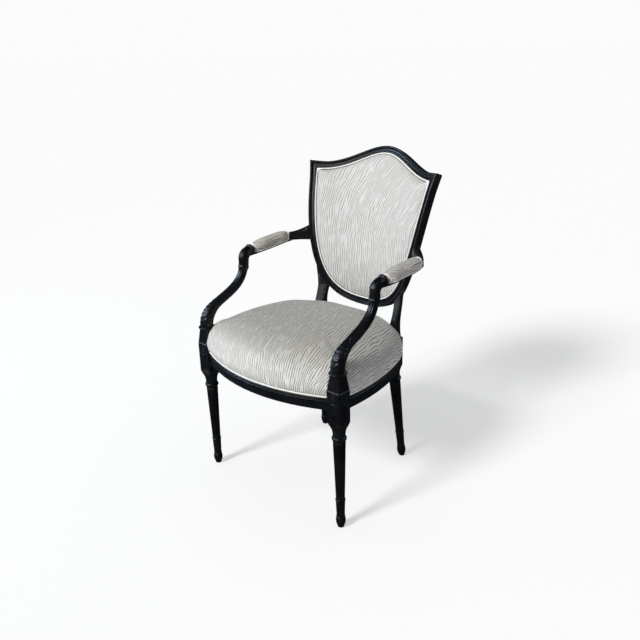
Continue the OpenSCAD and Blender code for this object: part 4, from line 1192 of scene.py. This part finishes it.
        def edges(level: float) -> Pair:
            """Finds where the post ends on both sides.

            Args:
                level: Height from -1 at the panel's foot to 1 at its top.

            Returns:
                Both ends, as shares of the panel's half width.
            """
            z = (low + high) / 2 + level * (high - low) / 2
            starts = [(x, Vector((side.value * x, -self.post_outside, z)))
                      for x in np.arange(*self.post_search)]
            seen = [x for x, start in starts if ground.ray_cast(start, ahead)[0] is not None]
            first, last = min(seen) + self.post_rim, max(seen) - self.post_rim
            ends = sorted((side.value * (first - middle) / half, side.value * (last - middle) / half))
            return ends[0], ends[1]

        centre = Vector((side.value * middle, -self.post_outside, (low + high) / 2))
        panel = CarvedPanel(f"{side.word}_post_scales", centre, Vector((1, 0, 0)), Vector((0, 0, 1)),
                            (self.post_panel, high - low), scales, cells=(36, 110), margin=0.1,
                            outline=edges)
        panel.build(ground, self.dust_and_highlight)

    def block(self, side: Side) -> None:
        """Carves the front and the outer face of one front leg's block.

        Args:
            side: Which leg it is.
        """
        ground = surface(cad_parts[f"front_{side.word}_leg"])
        x, y, z = self.block_middle
        away = 0.1
        faces = (("front", Vector((side.value * x, y - away, z)), Vector((1, 0, 0))),
                 ("outer", Vector((side.value * (x + away), y, z)), Vector((0, side.value, 0))))
        for word, centre, across in faces:
            panel = CarvedPanel(f"{side.word}_leg_{word}_carving", centre, across, Vector((0, 0, 1)),
                                self.block_panel, leaf_panel, cells=(56, 120), margin=0.05)
            panel.build(ground, self.paint)


@dataclass
class HiddenPieces:
    """Blocks, dowels, screws, glides, webbing and hessian, which keep their CAD shapes.

    Attributes:
        beech: Bare wood.
        jute: Cloth that lies level.
        back_jute: The same cloth where it stands upright.
        steel: Metal.
        wooden: Nodes of bare wood.
        flat_cloth: Nodes of level cloth.
        upright_cloth: Nodes of upright cloth.
        metal: Nodes of metal.
    """

    beech: bpy.types.Material
    jute: bpy.types.Material
    back_jute: bpy.types.Material
    steel: bpy.types.Material
    wooden: Tuple[str, ...] = (
        "front_left_corner_block", "front_right_corner_block", "rear_left_corner_block",
        "rear_right_corner_block", "shield_dowels", "post_dowels", "arm_dowels")
    flat_cloth: Tuple[str, ...] = ("seat_webbing_lengthwise", "seat_webbing_crosswise", "seat_hessian")
    upright_cloth: Tuple[str, ...] = ("back_webbing_upright", "back_webbing_crosswise")
    metal: Tuple[str, ...] = ("foot_glides", "corner_block_screws")

    def build(self) -> None:
        """Gives each node its finish."""
        for names, material in ((self.wooden, self.beech), (self.flat_cloth, self.jute),
                                (self.upright_cloth, self.back_jute), (self.metal, self.steel)):
            for name in names:
                coat(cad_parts[name], material)
                LOG.info("%s: %s", name, material.name)


@dataclass
class StuffedSeat:
    """The stuffed seat, its cover and the lining under it.

    Attributes:
        velvet: The cover.
        cord: Cloth of the piping.
        lining: Cloth of the dust cover.
        roll_z: Level at which the top starts to roll down to the sides.
        roll: Height of that roll.
        crown: Height by which the middle is stuffed up.
        crown_from: Level at which that starts.
        pleat_z: Level below which the cover is gathered to the piping.
        pleat_run: Height over which the gathers set in.
        support_at: Place (x, y) of the left arm support.
        support_clear: How far from it the cover is held down.
        sewn_height: Height of the strip at the foot that is held down.
        front_y: Line of the front edge, where the ridges' lean starts.
        ridge_lean: Sideways lean of the ridges in the middle of the seat.
        ridge_fan: How fast that lean changes across the seat.
        fading: How far the ridges fade where the pile is lit from the window.
        lit_to: Place across the seat at which that light ends.
        lit_run: Width over which it grows to the full.
        gathering: How much deeper the grooves are where the cover is gathered.
        stuffing: How it is blown up.
        pipings: Nodes of its piping.
    """

    velvet: bpy.types.Material
    cord: bpy.types.Material
    lining: bpy.types.Material
    roll_z: float = 0.496
    roll: float = 0.036
    crown: float = 0.012
    crown_from: float = 0.44
    pleat_z: float = 0.428
    pleat_run: float = 0.012
    support_at: Pair = (0.263, -0.2474)
    support_clear: float = 0.05
    sewn_height: float = 0.012
    front_y: float = -0.3
    ridge_lean: float = 0.3
    ridge_fan: float = 0.5
    fading: float = 0.42
    lit_to: float = 0.14
    lit_run: float = 0.3
    gathering: float = 0.4
    stuffing: Stuffing = Stuffing(voxel=0.0056, pressure=3.0, cap=0.0028, easing=16)
    pipings: Tuple[str, ...] = (
        "front_seat_piping", "left_seat_piping", "right_seat_piping", "rear_seat_piping")

    def build(self) -> None:
        """Builds the cushion, its piping and the dust cover."""
        self.cushion()
        for node in self.pipings:
            sew_piping(node, self.cord)
        self.dust_cover()

    def cushion(self) -> None:
        """Swells the seat over its stuffing and lays the ridges over it, as they run on the chair."""
        piece = copy_of("seat_cushion", "seat_stuffed")
        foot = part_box("seat_cushion")[0].z

        def held(places: np.ndarray, facing: np.ndarray) -> np.ndarray:
            """Holds the foot, the underside and what lies round the arm supports.

            Args:
                places: The seat's vertices.
                facing: Their normals.

            Returns:
                True where a vertex is held.
            """
            x, y = self.support_at
            aside = np.hypot(np.abs(places[:, 0]) - x, places[:, 1] - y)
            foot_held = places[:, 2] < foot + self.sewn_height
            return foot_held | (facing[:, 2] < -0.3) | (aside < self.support_clear)

        self.stuffing.fill(piece, held)
        places = points(piece)
        top = places[:, 2].max()
        rise = np.clip((places[:, 2] - self.crown_from) / (top - self.crown_from), 0, 1)
        places[:, 2] += self.crown * rise * (2 - rise)
        put_points(piece, places)
        self.lay_ridges(piece, places, normals(piece))
        settle(piece, Slot.FABRIC, self.velvet, "seat_cushion")

    def lay_ridges(self, piece: bpy.types.Object, places: np.ndarray, facing: np.ndarray) -> None:
        """Lays the cover flat in plan, rolls its sides down, and leans the ridges across it.

        Args:
            piece: The swelled seat.
            places: Its vertices.
            facing: Their normals.
        """
        low, high = places.min(0), places.max(0)
        reach = ((high - low) / 2)[:2]
        off = (places - (low + high) / 2)[:, :2] / reach
        outward = np.sign(off) * off ** 2 / reach
        outward /= np.maximum(np.linalg.norm(outward, axis=1, keepdims=True), 1e-6)
        fall = np.maximum(0.0, self.roll_z - places[:, 2])
        drop = np.where(fall < self.roll, fall ** 2 / (2 * self.roll), fall - self.roll / 2)
        spread = places[:, :2] + outward * drop[:, None]
        lean = self.ridge_lean - self.ridge_fan * np.clip(spread[:, 0], -0.3, 0.3)
        across = spread[:, 0] + (spread[:, 1] - self.front_y) * lean
        sewn = np.clip((self.pleat_z - places[:, 2]) / self.pleat_run, 0, 1)
        # Painted light: the grooves fade on front faces near the window, as if the pile there were lit.
        near_window = np.clip((self.lit_to - places[:, 0]) / self.lit_run, 0, 1)
        lit = np.clip(-facing[:, 1] * 1.6, 0, 1) * near_window
        fade = self.fading * lit * (1 - sewn) - self.gathering * sewn
        lay_cloth(piece, across, spread[:, 1], fade)

    def dust_cover(self) -> None:
        """Copies the lining under the seat frame and dresses it."""
        piece = copy_of("dust_cover", "dust_cover_tacked")
        settle(piece, Slot.CAMBRIC, self.lining, "dust_cover")


class Facing(Enum):
    """Which way a face of the back looks along y."""

    SITTER = -1
    REAR = 1


@dataclass
class ShieldBack:
    """The stuffed inside back, the outside back and the piping round both.

    Attributes:
        velvet: The cover.
        cord: Cloth of the piping.
        lean_z: Level above which the ridges start to lean over.
        lean_middle: How fast they lean in the middle of the back.
        lean_fan: How much that changes in a metre across it.
        lean_range: The least and the most that it can be.
        lean_gain: How strongly it bends them over.
        tilt: Lean of the ridges below that level.
        fading: How far the ridges fade above the foot.
        gathering: How much deeper the grooves are at the foot.
        foot: Height of the foot.
        foot_run: Height over which the ridges then fade.
        held_share: Share of its direction towards the sitter below which the cover is held.
        stuffing: How the inside back is blown up.
    """

    velvet: bpy.types.Material
    cord: bpy.types.Material
    lean_z: float = 0.68
    lean_middle: float = 1.6
    lean_fan: float = 7.0
    lean_range: Pair = (0.5, 3.4)
    lean_gain: float = 1.6
    tilt: float = 0.06
    fading: float = 0.42
    gathering: float = 0.2
    foot: float = 0.02
    foot_run: float = 0.06
    held_share: float = 0.35
    stuffing: Stuffing = Stuffing(voxel=0.0045, pressure=3.0, cap=0.004)

    def build(self) -> None:
        """Builds both faces and both pipings."""
        self.face("back_cushion", "inside_back_stuffed", Facing.SITTER)
        self.face("outside_back", "outside_back_sewn", Facing.REAR)
        for node in ("back_piping", "outside_back_piping"):
            sew_piping(node, self.cord)

    def face(self, node: str, name: str, facing: Facing) -> None:
        """Swells the inside face of the back, or rounds off the outside one, and lays its ridges.

        Args:
            node: The CAD node that it stands for.
            name: The new piece's name.
            facing: Which way it looks.
        """
        piece = copy_of(node, name)
        towards = facing.value

        def held(_: np.ndarray, directions: np.ndarray) -> np.ndarray:
            """Holds all but the swelled face."""
            return directions[:, 1] * towards < self.held_share

        if facing is Facing.REAR:
            soften(piece, 2, crease_deg=60)
        else:
            self.stuffing.fill(piece, held)
        places = points(piece)
        x, z = places[:, 0] * -towards, places[:, 2]
        rise = np.maximum(0.0, z - self.lean_z)
        lean = np.clip(self.lean_middle + self.lean_fan * x, *self.lean_range)
        across = x - 0.5 * lean * rise ** 2 * self.lean_gain + self.tilt * z
        fade = self.fading * np.clip((z - z.min() - self.foot) / self.foot_run, 0, 1) - self.gathering
        lay_cloth(piece, across, z, fade)
        settle(piece, Slot.FABRIC, self.velvet, node)


@dataclass
class ArmPads:
    """The stuffed pads on the arms.

    Attributes:
        velvet: The cover.
        cord: Cloth of the piping.
        sewn_height: Height of the strip at the foot that is held down.
        cord_radius: Radius of the cord over a pad's ends.
        cord_lean: How far that cord leans outwards.
        cord_proud: How far its middle stands off the cover.
        cord_ends: Its distances from the front and from the rear end of the pad.
        cord_span: Degrees at which it starts, and through which it runs.
        cord_steps: How many steps it takes.
        cord_hub: Height over the pad's foot of the hub that it is wound round.
        pad_rise: Height that the pad gains along its length.
        side_from: How far below the top its sides' ridges begin.
        ring_ends: Distances from both ends at which the ridges bend round.
        stuffing: How a pad is blown up.
    """

    velvet: bpy.types.Material
    cord: bpy.types.Material
    sewn_height: float = 0.007
    cord_radius: float = 0.0026
    cord_lean: float = 0.35
    cord_proud: float = 0.0004
    cord_ends: Pair = (0.009, 0.014)
    cord_span: Pair = (-14, 208)
    cord_steps: int = 24
    cord_hub: float = 0.008
    pad_rise: float = 0.012
    side_from: float = 0.012
    ring_ends: Pair = (0.05, 0.04)
    stuffing: Stuffing = Stuffing(voxel=0.0025, pressure=2.0, cap=0.002)

    def build(self) -> None:
        """Builds the pads and their piping."""
        for side in Side:
            self.pad(side)
            sew_piping(f"{side.word}_arm_pad_piping", self.cord)

    def end_cords(self, side: Side, pad: bpy.types.Object) -> None:
        """Runs cord over both ends of a pad, leaning outwards at the top.

        Args:
            side: Which pad it is.
            pad: The stuffed pad.
        """
        ground = surface(pad)
        low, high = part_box(f"{side.word}_arm_pad")
        first, last = self.cord_ends
        begin, span = self.cord_span
        for word, end, lean in (("front", low.y + first, -1), ("rear", high.y - last, 1)):
            rise = self.pad_rise * (end - low.y) / (high.y - low.y)
            floor = low.z + rise
            hub = Vector((self.middle(pad, end), end, floor + self.cord_hub))
            path = []
            for step in range(self.cord_steps + 1):
                turn = math.radians(begin + step * span / self.cord_steps)
                ray = Vector((math.cos(turn), lean * self.cord_lean * math.sin(turn), math.sin(turn)))
                hit = ground.ray_cast(hub + ray * 0.08, -ray)[0]
                if hit is not None:
                    path.append(hit + ray.normalized() * self.cord_proud)
            piece = cord_along(f"{side.word}_pad_{word}_cord", path, self.cord_radius)
            settle(piece, Slot.CORD, self.cord)

    @staticmethod
    def middle(pad: bpy.types.Object, y: float) -> float:
        """Finds the middle of a pad's width at a place along it.

        Args:
            pad: The stuffed pad.
            y: The place.

        Returns:
            Its middle there.
        """
        slice_half = 0.004
        pts = points(pad)
        xs = pts[np.abs(pts[:, 1] - y) < slice_half][:, 0]
        return float((xs.min() + xs.max()) / 2)

    def pad(self, side: Side) -> None:
        """Swells one pad and lays its ridges along it.

        Args:
            side: Which pad it is.
        """
        node = f"{side.word}_arm_pad"
        piece = copy_of(node, f"{node}_stuffed")
        low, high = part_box(node)

        def held(places: np.ndarray, facing: np.ndarray) -> np.ndarray:
            """Holds the foot and the underside."""
            return (places[:, 2] < low.z + self.sewn_height) | (facing[:, 2] < -0.3)

        self.stuffing.fill(piece, held)
        places = points(piece)
        line = np.polyfit(places[:, 1], places[:, 0], 2)
        off = places[:, 0] - np.polyval(line, places[:, 1])
        first, last = self.ring_ends
        past = np.maximum(low.y + first - places[:, 1], places[:, 1] - high.y + last)
        across = np.hypot(off, 0.6 * np.maximum(0, past))
        across += np.clip(high.z - self.side_from - places[:, 2], 0, None)
        apart = 0.3 * side.value
        lay_cloth(piece, across + apart, places[:, 1])
        settle(piece, Slot.FABRIC, self.velvet, node)
        self.end_cords(side, piece)


class LampKind(Enum):
    """Kinds of lamp."""

    SUN = "SUN"
    AREA = "AREA"


@dataclass(frozen=True)
class Lamp:
    """One soft lamp.

    Attributes:
        name: Its name.
        kind: Its kind.
        place: Where it hangs.
        aim: The point it faces.
        size: Its width in metres, or a sun's spread in degrees.
        power: Its power in watts, or a sun's strength.
        colour: Its colour.
        mirrored: Whether it shows only as a shine, or else only as plain light.
    """

    name: str
    kind: LampKind
    place: Triple
    aim: Triple
    size: float
    power: float
    colour: Colour
    mirrored: bool = False

    def hang(self) -> None:
        """Adds it to the scene."""
        data = bpy.data.lights.new(self.name, self.kind.value)
        if self.kind is LampKind.SUN:
            data.angle = math.radians(self.size)
        else:
            data.size = self.size
        data.energy = self.power
        data.color = self.colour
        lamp = bpy.data.objects.new(self.name, data)
        bpy.context.scene.collection.objects.link(lamp)
        lamp.location = self.place
        lamp.visible_diffuse = not self.mirrored
        lamp.visible_glossy = self.mirrored
        way = Vector(self.aim) - Vector(self.place)
        lamp.rotation_euler = way.to_track_quat("-Z", "Y").to_euler()


@dataclass
class Studio:
    """A pale sweep, soft lamps and the camera.

    Attributes:
        azimuth: The camera's turn round the chair in degrees.
        elevation: Its height over the chair in degrees.
        roll: Its tilt to one side in degrees.
        lens: Its lens in millimetres.
        sensor: The width of its sensor in millimetres.
        eye: Where it stands.
        floor_size: Width of the floor.
        floor_tone: The floor as light falls on it.
        floor_mirrored: The floor as the paint mirrors it.
        floor_glow: Strength of the white that the camera sees in the floor.
        floor_share: Share of that white.
        lamps: The lamps.
        skies: Colour and strength of the world for plain light, for shine and for the camera.
    """

    azimuth: float = 42.9258
    elevation: float = 20.7141
    roll: float = -1.6643
    lens: float = 40.73
    sensor: float = 36
    eye: Triple = (1.3841, -1.5144, 1.2581)
    floor_size: float = 400
    floor_tone: Colour = (0.8, 0.8, 0.8)
    floor_mirrored: Colour = (0.06, 0.068, 0.08)
    floor_glow: float = 1.375
    floor_share: float = 0.36
    lamps: Tuple[Lamp, ...] = (
        Lamp("key_lamp", LampKind.SUN, (-0.113, -0.801, 0.588), (0, 0, 0), 15, 3.2, (1.0, 0.995, 0.985)),
        Lamp("window_fill", LampKind.AREA, (-2.2, -1.6, 1.2), (0, 0, 0.5), 1.2, 7, (0.55, 0.78, 1.0)),
        Lamp("window_lamp", LampKind.AREA, (-2.2, -1.6, 1.9), (0, 0, 0.5), 1.0, 60, (0.6, 0.78, 1.0),
             mirrored=True),
        Lamp("front_lamp", LampKind.AREA, (-0.3, -2.9, 2.2), (0, 0, 0.5), 0.8, 46, (1.0, 0.97, 0.93),
             mirrored=True),
        Lamp("rim_lamp", LampKind.AREA, (1.4, 1.9, 2.0), (0, 0, 0.6), 0.9, 16, (0.8, 0.9, 1.0),
             mirrored=True))
    skies: Tuple[Tuple[Colour, float], ...] = (
        ((0.95, 0.975, 1.0), 0.33), ((0.6, 0.78, 1.0), 0.045), ((1.0, 1.0, 1.0), 0.967))

    def build(self) -> None:
        """Sets the whole stage."""
        self.camera()
        self.sweep()
        for lamp in self.lamps:
            lamp.hang()
        self.world()
        bpy.context.scene.view_settings.view_transform = "Standard"

    def camera(self) -> None:
        """Places the camera as the photograph was taken."""
        turn, tilt, roll = (math.radians(angle) for angle in (self.azimuth, self.elevation, self.roll))
        right = Vector((math.cos(turn), math.sin(turn), 0))
        back = Vector((math.sin(turn) * math.cos(tilt), -math.cos(turn) * math.cos(tilt), math.sin(tilt)))
        up = back.cross(right)
        across = right * math.cos(roll) + up * math.sin(roll)
        upward = up * math.cos(roll) - right * math.sin(roll)
        data = bpy.data.cameras.new("camera")
        data.lens = self.lens
        data.sensor_width = self.sensor
        data.clip_start = 0.05
        camera = bpy.data.objects.new("camera", data)
        bpy.context.scene.collection.objects.link(camera)
        turned = Matrix((across, upward, back)).transposed().to_4x4()
        camera.matrix_world = Matrix.Translation(self.eye) @ turned
        bpy.context.scene.camera = camera

    def sweep(self) -> None:
        """Adds the floor, which the camera sees nearly white, with the chair's shadow on it."""
        bpy.ops.object.select_all(action="DESELECT")
        bpy.ops.mesh.primitive_plane_add(size=self.floor_size, location=(0, 0, 0))
        floor = bpy.context.object
        floor.name = "studio_floor"
        g = Graph("studio_floor")
        path = g.node("ShaderNodeLightPath", out="Is Camera Ray")
        glossy = Wire(g, path.socket.node.outputs["Is Glossy Ray"])
        matt = g.node("ShaderNodeBsdfDiffuse", sockets={"Color": self.floor_tone})
        dim = g.node("ShaderNodeBsdfDiffuse", sockets={"Color": self.floor_mirrored})
        glow = g.node("ShaderNodeEmission",
                      sockets={"Color": (1.0, 1.0, 1.0), "Strength": self.floor_glow})
        lit = g.node("ShaderNodeMixShader", sockets={0: glossy, 1: matt, 2: dim})
        seen = g.node("ShaderNodeMixShader", sockets={0: path * self.floor_share, 1: lit, 2: glow})
        g.tree.links.new(seen.socket, g.output.inputs["Surface"])
        coat(floor, g.material)

    def world(self) -> None:
        """Adds a world that is white to the camera and dim to the paint."""
        world = bpy.data.worlds.new("studio_world")
        bpy.context.scene.world = world
        world.use_nodes = True
        tree = world.node_tree
        tree.nodes.clear()
        path = tree.nodes.new("ShaderNodeLightPath")
        out = tree.nodes.new("ShaderNodeOutputWorld")
        shades = []
        for colour, strength in self.skies:
            made = tree.nodes.new("ShaderNodeBackground")
            made.inputs["Color"].default_value = (*colour, 1)
            made.inputs["Strength"].default_value = strength
            shades.append(made)
        low = shades[0]
        for ray, shade in (("Is Glossy Ray", shades[1]), ("Is Camera Ray", shades[2])):
            mixed = tree.nodes.new("ShaderNodeMixShader")
            tree.links.new(path.outputs[ray], mixed.inputs[0])
            tree.links.new(low.outputs[0], mixed.inputs[1])
            tree.links.new(shade.outputs[0], mixed.inputs[2])
            low = mixed
        tree.links.new(low.outputs[0], out.inputs["Surface"])


def main() -> None:
    """Builds every sub-assembly in order, and the stage."""
    logging.basicConfig(level=logging.INFO, format="%(name)s: %(message)s")
    paint = RubbedBlackPaint().material()
    # Painted highlight, with dust: a lighter paint for the posts' scales, lighter again at their raised
    # edges.
    dust_and_highlight = RubbedBlackPaint("dusty_black_paint", deep=(0.006, 0.0065, 0.0075), lift=(0.03, 0.031, 0.033),
                             rubbed=(0.17, 0.16, 0.14), wear=0.85).material()
    cord = CordCloth().material()
    seat_velvet = BarkVelvet("seat_velvet").material()
    back_velvet = BarkVelvet("back_velvet", pitch=0.0072, pile=(0.52, 0.52, 0.505), tip=(0.59, 0.6, 0.6),
                             ground=(0.3, 0.265, 0.22), groove=0.92).material()
    pad_velvet = BarkVelvet("pad_velvet", pitch=0.0052, pile=(0.5, 0.475, 0.43), tip=(0.6, 0.585, 0.55),
                            ground=(0.2, 0.17, 0.135), wander=0.7, level_shade_share=0.25).material()
    Woodwork(paint, dust_and_highlight).build()
    thread, gap, jute_pitch = (0.5, 0.38, 0.22), (0.2, 0.14, 0.075), 0.0036
    beech = SawnBeech().material()
    jute = PlainWeave("woven_jute", thread, gap, jute_pitch).material()
    back_jute = PlainWeave("woven_jute_upright", thread, gap, jute_pitch, flat_axes=(0, 2)).material()
    HiddenPieces(beech, jute, back_jute, PlainSteel().material()).build()
    cambric = PlainWeave("black_cambric", thread=(0.03, 0.03, 0.032), gap=(0.008, 0.008, 0.008),
                         pitch=0.0022).material()
    StuffedSeat(seat_velvet, cord, cambric).build()
    ShieldBack(back_velvet, cord).build()
    ArmPads(pad_velvet, cord).build()
    Studio().build()


if __name__ == "__main__":
    main()
